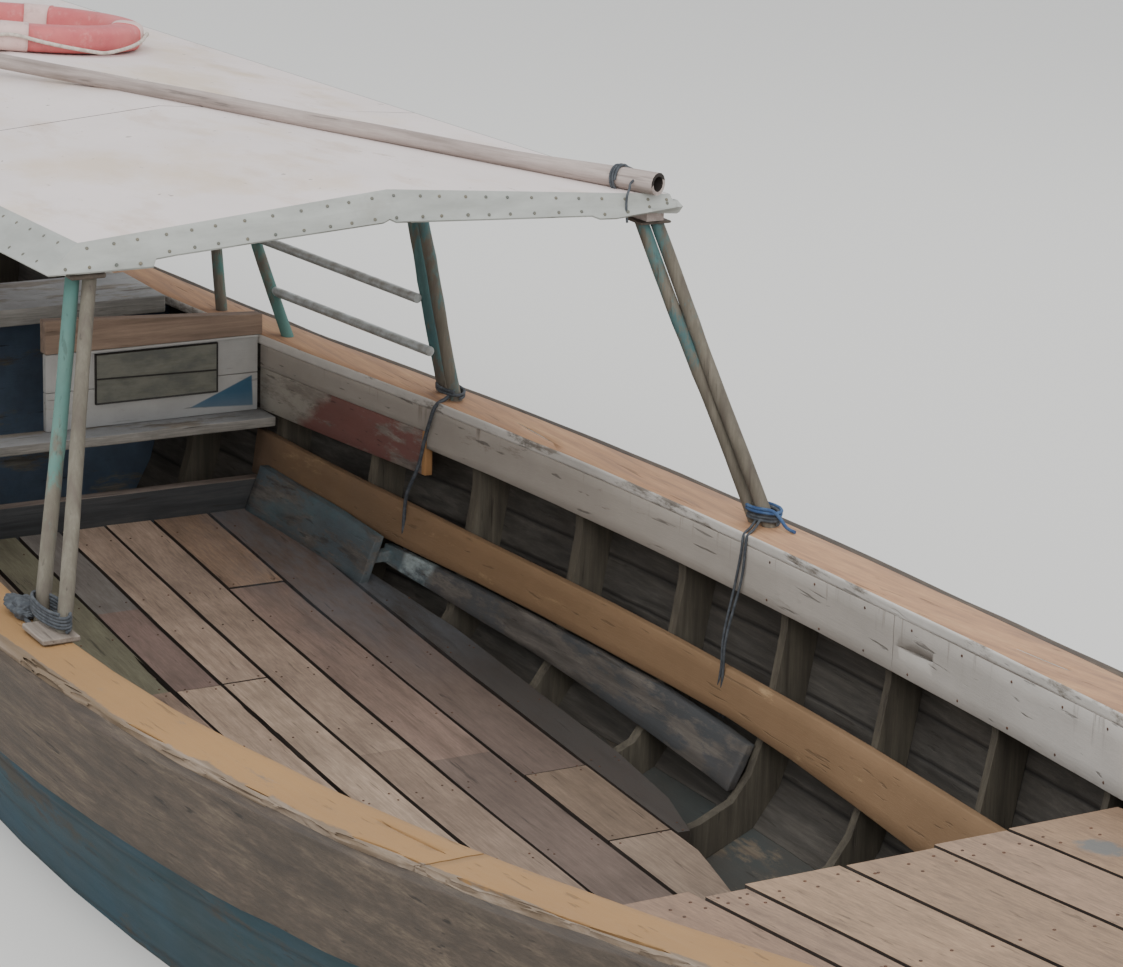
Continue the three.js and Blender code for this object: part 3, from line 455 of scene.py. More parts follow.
woodLooks = {
    "bottomWood": wood(1, "#3f372e #6b6052 #857866", "#3f4442 #4a4640", 0.35),
    "strakeWood": wood(3, "#3a3129 #594c40 #756757", cracks=0.85, grainBump=0.8, fibre=0.6, dirt=0.5,
                       patchScale=1.5),
    "ribWood": wood(4, "#3e3830 #585246 #6c6557", run="z", dirt=0.5),
    "ochreCap": wood(5, "#6d5b45 #7d6c5a #a09080", "#9f7a4d #98744a", 1.55, dirt=0.2, cracks=0.35,
                     dirtColour="#75624a", shared="paint"),
    "bareCap": wood(6, "#8d6d56 #b58c69 #c7a17a", dirt=0.25, cracks=0.4, dirtColour="#6f5646"),
    "stringerWood": wood(9, "#6f5536 #a88c68 #bfa27c", "#8f7254 #84694c", 0.16, dirt=0.3,
                         dirtColour="#6d5338", cracks=0.25),
    "floorWood": {"planks": True, "seed": 11, "dirt": 0.5, "dirtColour": "#453b34", "cracks": 0.45},
    "deckWood": {"planks": True, "seed": 12, "dirt": 0.3, "dirtColour": "#5f5146", "cracks": 0.4},
    "ledgeWood": wood(14, "#4b453e #7c7468 #948b7d", "#97989a #88898a", 0.4, run="y"),
    "blueInner": wood(15, "#393733 #7b776f #8e8a82", "#66788c #56677a", 0.25, run="y"),
    "beamWood": wood(13, "#6f5c4d #937c6a #a68e7a", run="y", dirt=0.25, cracks=0.3, fibre=0.2),
    "chockWood": wood(21, "#5b5148 #857a6f #9c9186"),
    "blockWood": wood(22, "#3a332d #5e544b #766a5e", dirt=0.5),
    "poleWood": wood(18, "#5d544b #6d685b #807b6e", "#4e7871 #5b7d74", 1.05, run="z", dirt=0.35,
                     shared="paint", chipRun=0.12, cracks=0.3),
    "farPoleWood": wood(19, "#544b42 #6b6558 #7f786b", "#3f5f61 #547674", 1.05, run="z", dirt=0.35,
                        shared="paint", chipRun=0.12, cracks=0.3),
    "roofPoleWood": wood(23, "#83766e #a99b94 #bfb2aa", turn=-22.4, dirt=0.25, cracks=0.35),
}
plainLooks = {
    "darkSteel": plain("#3a3c3d #5d4a3d", 0.5, metal=0.6),
    "castMetal": plain("#5b5e60 #6a5648", 0.6, metal=0.7),
    "engineRed": plain("#9a2e26 #5c3730", 0.45, metal=0.1),
    "alloy": plain("#9a9c9d #77736c", 0.45, metal=0.9),
    "tubeSteel": plain("#85888a #7b5a44", 0.4, metal=0.9),
    "brass": plain("#a08850 #7d7040", 0.35, metal=1.0),
    "tankPlastic": plain("#9b9c8a #86826e", 0.5),
    "galvanised": plain("#b4b8b6 #96958f", 0.42, metal=0.3, scale=20),
    "rustNail": plain("#4a3a31 #6b4a38", 0.8, scale=60),
    "dullNail": plain("#5f625c #77705f", 0.7, scale=60),
    "blackRope": plain("#3b3f44 #54585c", 0.9, scale=60, bump=0.5),
    "blueRope": plain("#2f4a72 #4b6586", 0.8, scale=50, bump=0.5),
    "creamRope": plain("#c9c0b4 #a89e92", 0.85, scale=60, bump=0.5),
    "rubber": plain("#232425 #34332f", 0.7, scale=30),
}
materials = {name: woodMaterial(name, look) for name, look in woodLooks.items()}
materials.update({name: plainMaterial(name, look) for name, look in plainLooks.items()})


# hull shell: worn blue outside, bare dark planks inside
hullLook = {
    "outer": wood(2, "#2a2622 #39362f #4a453b", "#22404d #20363a", 0.28, dirt=0.45, chipScale=1.6,
                  dirtColour="#2e2d28"),
    "inner": wood(24, "#37332f #504c46 #6a645c", dirt=0.55, fibre=0.3),
    "seams": (0.2, 0.36, 0.5, 0.64, 0.8), "seamHalf": 0.012,
}
bothSides = (("port", 1), ("starboard", -1))


# how far up its slice of the mesh a point lies, from 0 to 1, or how far down from the top
def heightRule(obj, digits, least, fromTop=False):
    spans = {}
    for vertex in obj.data.vertices:
        key = round(vertex.co.x, digits)
        low, high = spans.get(key, (9, -9))
        spans[key] = (min(low, vertex.co.z), max(high, vertex.co.z))

    def rule(p):
        low, high = spans[round(p.x, digits)]
        return (high - p.z if fromTop else p.z - low) / max(high - low, least)
    return rule


def hullMaterial():
    desk = NodeDesk("blueHull")
    outerColour, outerRough, outerNormal = woodLayers(desk, hullLook["outer"])
    innerColour, _, _ = woodLayers(desk, hullLook["inner"])
    inside = desk.attribute("inside")
    strake = desk.attribute("strake")
    wave = desk.noise(desk.stretched((2, 2, 2)), 1.2, 2)
    strake = desk.plus(strake, desk.times(desk.minus(wave, 0.5), 0.015))
    seam = None
    for at in hullLook["seams"]:
        near = desk.math("ABSOLUTE", desk.minus(strake, at))
        line = desk.minus(1.0, desk.math("DIVIDE", near, hullLook["seamHalf"]), clamp=True)
        seam = desk.math("MAXIMUM", seam, line) if seam else line
    colour = desk.mix(inside, outerColour, innerColour)
    share = desk.times(seam, desk.plus(0.35, desk.times(inside, 0.5)))
    colour = desk.mix(share, colour, "#1d1a18")
    normal = desk.bump(desk.minus(1.0, seam), 0.5, 0.006, outerNormal)
    return desk.finish(colour, outerRough, normal)


blueHull = hullMaterial()
for side, sign in bothSides:
    shell = copyNode(f"hull_side_{side}", f"hull_planking_{side}", quads=True)
    gradeFaces(shell, "inside", lambda c, n: 1.0 if n.y * sign < 0 and abs(n.y) > 0.15 else 0.0)
    gradePoints(shell, "strake", heightRule(shell, 2, 0.05))
    smoothByAngle(shell, 30)
    finishPiece(shell, "blue_hull", blueHull, [f"hull_side_{side}"])
print("hull planking done")


# timbers: a copy of the node with soft edges, cut fine enough to be worn out of true
timbers = {
    # one value, or one for port and one for starboard
    "rub_strake": {"bevel": 0.006, "fine": (2, 3), "wear": (0.003, 0.007)},
    "cap": {"bevel": 0.003, "fine": (2, 3), "wear": (0.0015, 0.0025)},
    "stringer": {"bevel": 0.003, "fine": 2, "wear": 0.0015},
    "inner_board": {"bevel": 0.0015, "fine": 2, "wear": 0.0015},
    "lower_board": {"bevel": 0.0015, "fine": 2, "wear": 0.0012},
    "side_boards": {"bevel": 0.004, "fine": 2, "wear": 0.003},
}


def timberValue(nodeName, key):
    kind, side = nodeName.rsplit("_", 1)
    value = timbers[kind][key]
    return value[side == "starboard"] if isinstance(value, tuple) else value


def copyTimber(nodeName, pieceName):
    obj = copyNode(nodeName, pieceName, quads=True)
    bevelEdges(obj, timberValue(nodeName, "bevel"))
    fine = obj.modifiers.new("finer", "SUBSURF")
    fine.subdivision_type = "SIMPLE"
    fine.levels = fine.render_levels = timberValue(nodeName, "fine")
    applyModifiers(obj)
    return obj


def wearTimber(obj, nodeName, seed):
    weather(obj, timberValue(nodeName, "wear"), (1.6, 26, 26), seed)
    smoothByAngle(obj, 40)


# the same timber on both sides
def dressTimbers(kind, slotName, look, seeds):
    for (side, _), seed in zip(bothSides, seeds):
        nodeName = f"{kind}_{side}"
        timber = copyTimber(nodeName, f"worn_{nodeName}")
        wearTimber(timber, nodeName, seed)
        finishPiece(timber, slotName, materials[look], [nodeName])


trees = {}


def treeOf(obj):
    if obj.name not in trees:
        mesh = obj.data
        trees[obj.name] = BVHTree.FromPolygons([v.co for v in mesh.vertices],
                                               [tuple(f.vertices) for f in mesh.polygons])
    return trees[obj.name]


down = (0, 0, -1)


# the first place and normal that a line meets
def hitFrom(obj, place, along):
    return treeOf(obj).ray_cast(Vector(place), Vector(along))[:2]


def topOf(nodeName, x, y):
    return hitFrom(nodes[nodeName], (x, y, 3.0), down)


def sideOf(nodeName, x, z, toward):
    return hitFrom(nodes[nodeName], (x, 0, z), (0, toward, 0))


# a sliver of empty wood: a long thin diamond that a boolean takes away
def addSliver(place, along, length, wide, deep):
    deselectAll()
    bpy.ops.mesh.primitive_uv_sphere_add(segments=8, ring_count=6, radius=0.5, location=place)
    obj = bpy.context.object
    obj.scale = (length, wide, deep)
    obj.rotation_euler = Vector(along).to_track_quat("X", "Z").to_euler()
    settle(obj)
    return obj


def addNails(places, name, radius=0.0035):
    deselectAll()
    bpy.ops.mesh.primitive_cylinder_add(vertices=8, radius=radius, depth=0.004)
    nail = bpy.context.object
    selectFaces(nail, lambda face: face.normal.z > 0.9)
    bpy.ops.mesh.inset(thickness=radius * 0.35)
    bpy.ops.transform.translate(value=(0, 0, radius * 0.25))
    stopEdit()
    copies = []
    for place, normal in places:
        copy = addObject(name, nail.data.copy())
        turn = Vector(normal).to_track_quat("Z", "Y").to_matrix().to_4x4()
        copy.matrix_world = Matrix.Translation(Vector(place) - Vector(normal) * 0.001) @ turn
        copies.append(copy)
    bpy.data.objects.remove(nail)
    joined = joinPieces(copies, name)
    settle(joined)
    return joined


dressTimbers("rub_strake", "weathered_wood", "strakeWood", (4, 2))
print("rub strakes done")


# near cap: ochre paint gone from its outer edge, a joint, a crack and a rotten rim
nearCap = {
    "joint": (2.443, 0.006), "crackAt": (2.285, -0.828), "crackLong": 0.31,
    "bites": 58, "biteFrom": 0.85, "biteTo": 3.4,
}


def capEdge(x, toward):
    wide = [y / 1000 for y in range(300, 1060, 2)]
    hits = [y for y in wide if topOf("cap_starboard", x, -y)[0] is not None
            and topOf("cap_starboard", x, -y)[1].z > 0.8]
    return -(max(hits) if toward == "out" else min(hits))


def cutNearCap(obj):
    draw = random.Random(31)
    tools = []
    at, half = nearCap["joint"]
    z = topOf("cap_starboard", at, -0.83)[0].z
    tools.append(addBox((at - half / 2, -1.2, z - 0.02), (at + half / 2, -0.6, z + 0.05)))
    x, y = nearCap["crackAt"]
    place = topOf("cap_starboard", x, y)[0]
    tools.append(addSliver(place, (1, 0.065, 0.03), nearCap["crackLong"], 0.009, 0.03))
    for _ in range(nearCap["bites"]):
        x = draw.uniform(nearCap["biteFrom"], nearCap["biteTo"])
        edge = capEdge(x, "out")
        tangent = Vector((0.02, capEdge(x + 0.01, "out") - capEdge(x - 0.01, "out"),
                          topOf("cap_starboard", x + 0.01, edge + 0.03)[0].z
                          - topOf("cap_starboard", x - 0.01, edge + 0.03)[0].z))
        inward = draw.choice((0.0, 0.0, 0.004, 0.01, 0.022))
        under = topOf("cap_starboard", x, edge + 0.012)[0].z - draw.uniform(0, 0.006)
        place = Vector((x, edge + inward, under))
        tools.append(addSliver(place, tangent, draw.uniform(0.05, 0.24), draw.uniform(0.006, 0.016),
                               draw.uniform(0.008, 0.022)))
    for tool in tools:
        cutAway(obj, tool)


starboardCap = copyTimber("cap_starboard", "worn_cap_starboard")
edges = {}
for step in range(-470, 461):
    x = step / 100
    try:
        edges[step] = (capEdge(x, "out"), capEdge(x, "in"))
    except ValueError:
        continue


def ochreShare(p):
    pair = edges.get(round(p.x * 100))
    if pair is None:
        return 0.6
    rim = 0.012 + 0.02 * max(0.0, noise.noise(Vector((p.x * 1.7, 2, 0)))) * (1 if 0.7 < p.x < 3.6 else 0.3)
    return max(0.0, min(1.0, (p.y - pair[0] - rim) / 0.014))


cutNearCap(starboardCap)
wearTimber(starboardCap, "cap_starboard", 5)
gradePoints(starboardCap, "paint", ochreShare)
finishPiece(starboardCap, "ochre_cap", materials["ochreCap"], ["cap_starboard"])
print("near cap done")


# far cap, bare and pale, with its inner face painted white
farCapLook = {
    "top": wood(6, "#8d6d56 #b58b68 #c7a079", dirt=0.22, cracks=0.4, dirtColour="#7a6152"),
    "face": wood(7, "#5b544d #8d857b #a69d92", "#d5d0c8 #c3beb6", 0.25, dirt=0.3, dirtColour="#7c766c"),
    "cuts": ((-1.2, 0.55), (-0.35, 0.9), (1.1, 0.4), (1.9, 0.7)),
}


def twoSided(name, look):
    desk = NodeDesk(name)
    topColour, topRough, topNormal = woodLayers(desk, look["top"])
    faceColour, _, _ = woodLayers(desk, look["face"])
    return desk.finish(desk.mix(desk.attribute("face"), topColour, faceColour), topRough, topNormal)


farCap = copyTimber("cap_port", "worn_cap_port")
for x, share in farCapLook["cuts"]:
    place = topOf("cap_port", x, (0.86 if x > 0 else 0.83) + 0.05 * share)[0]
    if place is not None:
        cutAway(farCap, addSliver(place, (1, -0.02, 0.03), 0.25, 0.005, 0.02))
wearTimber(farCap, "cap_port", 8)
gradeFaces(farCap, "face", lambda c, n: 1.0 if n.y < -0.5 else 0.0)
finishPiece(farCap, "bare_cap", twoSided("bareCap", farCapLook), ["cap_port"])
print("far cap done")


# white boards under the caps, with a joint, cracks and nail stains
innerBoard = {
    "look": wood(7, "#6b645c #a59c92 #bcb3a9", "#dcd7d0 #c6c1ba", 0.02, dirt=0.2, dirtColour="#7f7a71",
                 chipRun=0.3, chipScale=1.8, patchScale=1.4, fibre=0.2),
    "joint": 1.363, "crack": ((1.372, 0.408), (1.555, 0.425)), "darkAftSpan": (0.25, 3.2),
    "nailFrom": -1.5, "nailTo": 4.0, "nailEvery": 0.21, "nailRows": (0.9, 0.08),
}


def whiteMaterial():
    desk = NodeDesk("whiteBoard")
    colour, rough, normal = woodLayers(desk, innerBoard["look"])
    # the boards grow darker toward their aft ends, fully at x 0.25 and not at all from x 3.2
    low, high = innerBoard["darkAftSpan"]
    forwardShare = desk.math("DIVIDE", desk.minus(desk.axis("X"), low), high - low, clamp=True)
    aftDarkening = desk.mix(forwardShare, "#cac5bf", "#ffffff")
    colour = desk.mix(1.0, colour, aftDarkening, "MULTIPLY")
    streak = desk.noise(desk.stretched((9, 9, 0.8)), 3.5, 5, 0.6)
    fromTop = desk.ramp(desk.attribute("depth"), [(0.0, 0.85), (0.5, 0.0)])
    stain = desk.times(desk.fade(streak, 0.6, 0.72), fromTop)
    colour = desk.mix(stain, colour, "#57483c")
    return desk.finish(colour, rough, normal)


materials["whiteBoard"] = whiteMaterial()
for side, sign in bothSides:
    nodeName = f"inner_board_{side}"
    board = copyTimber(nodeName, f"white_{nodeName}")
    x = innerBoard["joint"]
    place = sideOf(nodeName, x, 0.44, sign)[0]
    tools = [addBox((x - 0.0015, place.y - 0.03, 0.2), (x + 0.0015, place.y + 0.03, 0.8))]
    (x0, z0), (x1, z1) = innerBoard["crack"]
    middle = sideOf(nodeName, (x0 + x1) / 2, (z0 + z1) / 2, sign)[0]
    tools.append(addSliver(middle, (x1 - x0, 0, z1 - z0), x1 - x0 + 0.03, 0.02, 0.007))
    for tool in tools:
        cutAway(board, tool)
    wearTimber(board, nodeName, 9 + sign)
    gradePoints(board, "depth", heightRule(board, 1, 0.01, fromTop=True))
    finishPiece(board, "white_board", materials["whiteBoard"], [nodeName])
    places = []
    draw = random.Random(40 + sign)
    x = innerBoard["nailFrom"]
    while x < innerBoard["nailTo"]:
        for up in innerBoard["nailRows"]:
            if sideOf(nodeName, x, 0.45, sign)[0] is None:
                continue
            probe = [q / 1000 for q in range(300, 800, 6)]
            faces = [(z, sideOf(nodeName, x, z, sign)[0]) for z in probe]
            heights = [z for z, face in faces if face is not None and abs(face.y) > 0.3]
            if heights:
                at = heights[0] + (heights[-1] - heights[0]) * up
                hit = sideOf(nodeName, x + draw.uniform(-0.02, 0.02), at, sign)
                if hit[0] is not None:
                    places.append(hit)
        x += innerBoard["nailEvery"]
    nails = addNails(places, f"board_nails_{side}")
    finishPiece(nails, "white_board", materials["rustNail"])
print("white boards done")


# lower boards: grey-white aft, maroon forward, an ochre end
lowerBoard = {
    "grey": wood(26, "#5b544d #8a8278 #9f968b", "#a8a296 #958f85", 0.4, dirt=0.4, dirtColour="#6a645c"),
    "maroon": wood(8, "#4f4540 #8c8178 #a1968b", "#80554f #735049", 0.33, dirt=0.35, dirtColour="#4f4541"),
    "changeAt": (-1.377, 0.244, -1.253, 0.37), "ochreFrom": -0.785,
}


def lowerMaterial():
    desk = NodeDesk("maroonBoard")
    greyColour, _, _ = woodLayers(desk, lowerBoard["grey"])
    colour, rough, normal = woodLayers(desk, lowerBoard["maroon"])
    x0, z0, x1, z1 = lowerBoard["changeAt"]
    slant = desk.times(desk.minus(desk.axis("Z"), z0), (x1 - x0) / (z1 - z0))
    wave = desk.times(desk.noise(desk.stretched((4, 1, 9)), 1.5), 0.18)
    edge = desk.minus(desk.minus(desk.axis("X"), slant), wave)
    share = desk.above(edge, x0 - 0.09, 0.05)
    colour = desk.mix(share, greyColour, colour)
    end = desk.above(desk.axis("X"), lowerBoard["ochreFrom"], 0.004)
    colour = desk.mix(end, colour, "#a3794f")
    return desk.finish(colour, rough, normal)


materials["maroonBoard"] = lowerMaterial()
dressTimbers("lower_board", "maroon_board", "maroonBoard", (12, 12))

# stringers, greyer toward their aft ends
stringerAft = {"until": -0.95, "over": 0.9, "share": 0.6, "colour": "#5b4c42"}


def stringerMaterial():
    desk = NodeDesk("stringerWood")
    colour, rough, normal = woodLayers(desk, woodLooks["stringerWood"])
    aft = desk.minus(1.0, desk.above(desk.axis("X"), stringerAft["until"], stringerAft["over"]))
    blotch = desk.ramp(desk.noise(desk.place, 5, 6, 0.6), [(0.3, 0.4), (0.6, 1.0)])
    share = desk.times(desk.times(aft, blotch), stringerAft["share"])
    return desk.finish(desk.mix(share, colour, stringerAft["colour"]), rough, normal)


materials["stringerWood"] = stringerMaterial()
dressTimbers("stringer", "stringer_wood", "stringerWood", (13, 13))
print("lower boards and stringers done")


# side boards at the floor: dark and mottled, turquoise at their foot aft
sideBoard = {
    "look": wood(10, "#3d3935 #5f5953 #756e66", "#4d4a49 #424547", 0.4, dirt=0.5, chipScale=3.0),
    "aft": wood(28, "#35383a #6a6560 #827c74", "#4e5a61 #646a6b", 0.5, dirt=0.6, chipScale=4.5),
    "aftEnds": -0.66, "endFrom": -0.80, "endTo": -0.66,
}


def sideBoardMaterial():
    desk = NodeDesk("greyBoard")
    colour, rough, normal = woodLayers(desk, sideBoard["look"])
    aftColour, _, _ = woodLayers(desk, sideBoard["aft"])
    x = desk.axis("X")
    aft = desk.minus(1.0, desk.above(x, sideBoard["aftEnds"], 0.03))
    colour = desk.mix(aft, colour, aftColour)
    blotch = desk.noise(desk.stretched((1.5, 3, 3)), 3.0, 6, 0.7)
    inEnd = desk.times(desk.above(x, sideBoard["endFrom"], 0.02),
                      desk.minus(1.0, desk.above(x, sideBoard["endTo"], 0.02)))
    pale = desk.times(inEnd, desk.fade(blotch, 0.42, 0.55, 0.9))
    colour = desk.mix(pale, colour, "#9aa5a4")
    teal = desk.times(aft, desk.fade(desk.noise(desk.stretched((2, 5, 5)), 2.4, 6), 0.5, 0.66, 0.4))
    colour = desk.mix(teal, colour, "#4c6b74")
    return desk.finish(colour, rough, normal)


materials["greyBoard"] = sideBoardMaterial()
dressTimbers("side_boards", "grey_board", "greyBoard", (14, 14))
print("side boards done")


# ribs: thin, paler than the planking, edges rubbed round
ribSpec = {"first": 0.844, "apart": 0.47, "half": 0.0275, "thin": 0.55}
ribs = copyNode("frames", "worn_frames")
for vertex in ribs.data.vertices:
    nearest = round((vertex.co.x - ribSpec["first"]) / ribSpec["apart"])
    station = nearest * ribSpec["apart"] + ribSpec["first"]
    if abs(vertex.co.x - station) < ribSpec["half"] + 0.001:
        vertex.co.x = station + (vertex.co.x - station) * ribSpec["thin"]
bevelEdges(ribs, 0.004)
weather(ribs, 0.002, (9, 9, 2.2), 15)
smoothByAngle(ribs, 40)
finishPiece(ribs, "rib_wood", materials["ribWood"], ["frames"])
print("ribs done")


# floor planks: a colour each, butt joints, gaps and nails
floorPlanks = {
    "seams": (-0.716, -0.59, -0.455, -0.318, -0.182, -0.049, 0.087, 0.236, 0.414, 0.597, 0.716),
    # row, forward limit of the colour, colour
    "colours": (
        (0, 9, "#857a70"), (1, 9, "#85796b"), (2, -0.4, "#8c7f70"), (2, 9, "#94806e"),
        (3, -0.347, "#7e7c66"), (3, 9, "#a08876"),
        (4, -0.9, "#85807a"), (4, -0.343, "#917a70"), (4, 9, "#c2a993"),
        (5, -0.343, "#bba38f"), (5, 9, "#c2aa94"),
        (6, 0.2, "#b8a08c"), (6, 9, "#a38d7b"), (7, -0.95, "#ab8e76"), (7, 0.3, "#9a8274"),
        (7, 9, "#7f6e64"),
        (8, 0.463, "#7b6a60"), (8, 0.889, "#907c69"), (8, 9, "#a28e7c"), (9, 9, "#4b4845"),
    ),
    "butts": ((3, -0.343), (4, -0.343), (5, -0.343), (8, 0.466), (8, 0.889), (7, -0.95), (1, 0.6),
              (2, -0.7)),
    "gaps": ((-0.256, 0.232, -0.05), (-0.62, -0.19, -0.19)),
    "buttWidth": 0.006, "lift": 0.0025, "sag": 0.001, "seamOpen": (0.001, 0.004), "nailInset": 0.028,
    "nailRows": (-1.38, -0.96, -0.72, -0.36, -0.33, 0.04, 0.45, 0.482, 0.87, 0.905, 1.3, 1.72, 2.1),
}


def plankRow(y, spec=floorPlanks):
    return sum(1 for seam in spec["seams"][1:-1] if y > seam)


def floorTint(c):
    row = plankRow(c.y)
    return next(colour for r, limit, colour in floorPlanks["colours"] if r == row and c.x < limit)


def shiftOf(c):
    row = plankRow(c.y)
    part = sum(1 for r, x in floorPlanks["butts"] if r == row and c.x > x)
    return row + part * 0.37


# plank edges drawn back from their seams, a little unevenly
def openSeams(obj, seams, reach):
    for vertex in obj.data.vertices:
        for i, seam in enumerate(seams[1:-1]):
            away = vertex.co.y - seam
            if abs(away) < 0.006:
                wave = 0.5 + noise.noise(Vector((vertex.co.x * 0.8, i * 7.3 + (3 if away > 0 else 0), 0)))
                vertex.co.y += math.copysign(reach[0] + (reach[1] - reach[0]) * max(0, min(wave, 1)), away)


planks = copyNode("floor", "floor_planks")
for row, x in floorPlanks["butts"]:
    half = floorPlanks["buttWidth"] / 2
    y0, y1 = floorPlanks["seams"][row:row + 2]
    cutAway(planks, addBox((x - half, y0 + 0.001, -0.4), (x + half, y1 - 0.001, 0.2)))
for x0, x1, y in floorPlanks["gaps"]:
    middle = topOf("floor", (x0 + x1) / 2, y + 0.02)[0]
    cutAway(planks, addSliver((middle.x, y, middle.z), (1, 0, -0.03), x1 - x0, 0.014, 0.05))
bevelEdges(planks, 0.0025)
sliceAcross(planks, "x", [x / 10 for x in range(-14, 24)])
openSeams(planks, floorPlanks["seams"], floorPlanks["seamOpen"])
draw = random.Random(50)
parts = sorted({(plankRow(vertex.co.y), shiftOf(vertex.co)) for vertex in planks.data.vertices})
lifts = {part: (draw.uniform(0, floorPlanks["lift"]), draw.uniform(0, 6)) for part in parts}
for vertex in planks.data.vertices:
    up, phase = lifts[plankRow(vertex.co.y), shiftOf(vertex.co)]
    if topOf("floor", vertex.co.x, vertex.co.y)[0] is not None:
        vertex.co.z += up + floorPlanks["sag"] * math.sin(vertex.co.x * 3 + phase)
weather(planks, 0.0015, (2.5, 12, 12), 16)
tintPlanksShadeSides(planks, floorTint)
gradeFaces(planks, "shift", lambda c, n: shiftOf(c))
smoothByAngle(planks, 30)


def floorMaterial():
    desk = NodeDesk("floorWood")
    colour, rough, normal = woodLayers(desk, woodLooks["floorWood"])
    x, y = desk.axis("X"), desk.axis("Y")
    bluish = desk.noise(desk.stretched((1.2, 3.5, 1)), 2.2, 6, 0.7)
    aft = desk.minus(1.0, desk.above(x, -0.55, 0.9))
    far = desk.above(y, 0.42, 0.35)
    haze = desk.times(desk.times(aft, far), desk.fade(bluish, 0.38, 0.6, 0.8))
    colour = desk.mix(haze, colour, "#6d757d")
    return desk.finish(colour, rough, normal)


materials["floorWood"] = floorMaterial()
finishPiece(planks, "floor_wood", materials["floorWood"], ["floor"])


# nails in rows over the planks, each a little out of line
def plankNails(obj, spec, loose, inMiddle=False):
    places = []
    for x in spec["nailRows"]:
        for y0, y1 in zip(spec["seams"], spec["seams"][1:]):
            ys = [y0 + spec["nailInset"], y1 - spec["nailInset"]]
            if inMiddle:
                ys.insert(1, (y0 + y1) / 2)
            for y in ys:
                at = (x + draw.uniform(-loose[0], loose[0]), y + draw.uniform(-loose[1], loose[1]))
                place, normal = hitFrom(obj, (*at, 1.0), down)
                if place and normal.z > 0.9:
                    places.append((place, normal))
    return places


draw = random.Random(51)
places = plankNails(planks, floorPlanks, (0.012, 0.008))
nails = addNails(places, "floor_nails", 0.003)
finishPiece(nails, "floor_wood", materials["rustNail"])
print("floor done")


# foredeck planks, ragged at their aft ends
deckPlanks = {
    "seams": (-0.76, -0.44, -0.263, -0.159, 0.068, 0.289, 0.476, 0.76),
    "colours": ("#a18470", "#9a7d67", "#a2866f", "#ab8e72", "#a1856b", "#a98c73", "#a18469"),
    "aftEnds": (2.351, 2.354, 2.396, 2.371, 2.378, 2.359, 2.351),
    "nailRows": (2.43, 2.47, 2.9, 3.4, 3.88, 4.3), "nailInset": 0.03, "stain": (2.545, 0.56),
    "seamOpen": (0.001, 0.0042),
}
deck = copyNode("foredeck", "foredeck_planks")
for row, end in enumerate(deckPlanks["aftEnds"]):
    if end > 2.352:
        y0, y1 = deckPlanks["seams"][row:row + 2]
        cutAway(deck, addBox((2.2, y0 + 0.0005, 0.2), (end, y1 - 0.0005, 0.6)))
bevelEdges(deck, 0.003)
sliceAcross(deck, "x", [x / 10 for x in range(24, 45)])
openSeams(deck, deckPlanks["seams"], deckPlanks["seamOpen"])
weather(deck, 0.002, (2.5, 12, 12), 17)
tintPlanksShadeSides(deck, lambda c: deckPlanks["colours"][plankRow(c.y, deckPlanks)])
gradeFaces(deck, "shift", lambda c, n: 20 + plankRow(c.y, deckPlanks))
smoothByAngle(deck, 30)


def deckMaterial():
    desk = NodeDesk("deckWood")
    colour, rough, normal = woodLayers(desk, woodLooks["deckWood"])
    x, y = deckPlanks["stain"]
    dx = desk.math("DIVIDE", desk.minus(desk.axis("X"), x), 0.1)
    dy = desk.math("DIVIDE", desk.minus(desk.axis("Y"), y), 0.07)
    away = desk.plus(desk.times(dx, dx), desk.times(dy, dy))
    away = desk.plus(away, desk.times(desk.noise(desk.place, 30, 5), 1.1))
    colour = desk.mix(desk.ramp(away, [(0.7, 0.8), (1.0, 0.0)]), colour, "#62696a")
    return desk.finish(colour, rough, normal)


materials["deckWood"] = deckMaterial()
finishPiece(deck, "deck_wood", materials["deckWood"], ["foredeck"])
places = plankNails(deck, deckPlanks, (0.02, 0.01), inMiddle=True)
nails = addNails(places, "foredeck_nails", 0.0035)
finishPiece(nails, "deck_wood", materials["rustNail"])

aftDeck = copyNode("aft_deck", "aft_deck_planks")
bevelEdges(aftDeck, 0.003)
weather(aftDeck, 0.002, (2.5, 12, 12), 18)
tintPlanksShadeSides(aftDeck, lambda c: random.Random(round(c.y * 12)).choice(deckPlanks["colours"]))
gradeFaces(aftDeck, "shift", lambda c, n: 40 + round(c.y * 8))
smoothByAngle(aftDeck, 30)
finishPiece(aftDeck, "deck_wood", materials["deckWood"], ["aft_deck"])
print("decks done")


# posts: pairs of poles, their paint worn off toward the foot
posts = {
    # each pole's foot x, foot y, top x and top y in mm, then the paint at its foot and at its top
    "front_port": {"poles": ((606, 978, 422, 722, -0.1, 0.62), (655, 988, 432, 758, -0.2, 0.5)),
                   "look": "farPoleWood", "blockDeep": 0.006},
    "front_starboard": {"poles": ((611, -905, 434, -754, 0.05, 0.62), (752, -908, 456, -722, -0.2, -0.1)),
                        "look": "poleWood", "blockDeep": 0.012},
    # these stand alike on both sides
    "mid": {"poles": ((-812, 836, -900, 722, 0.35, 0.6), (-724, 827, -862, 728, 0.3, 0.6)),
            "look": "farPoleWood", "blockDeep": 0.044},
    "aft": {"poles": ((-1548, 690, -2028, 620, 0.5, 0.6), (-1906, 634, -2046, 622, 0.4, 0.6)),
            "look": "poleWood", "blockDeep": 0.044},
    "back": {"poles": ((-3420, 480, -3500, 706, 0.4, 0.6), (-3380, 506, -3480, 740, 0.4, 0.6)),
             "look": "poleWood", "blockDeep": 0.044},
}
for name in ("mid", "aft", "back"):
    post = posts.pop(name)
    for side, sign in bothSides:
        poles = [(x0, y0 * sign, x1, y1 * sign, *paint) for x0, y0, x1, y1, *paint in post["poles"]]
        posts[f"{name}_{side}"] = {**post, "poles": poles}
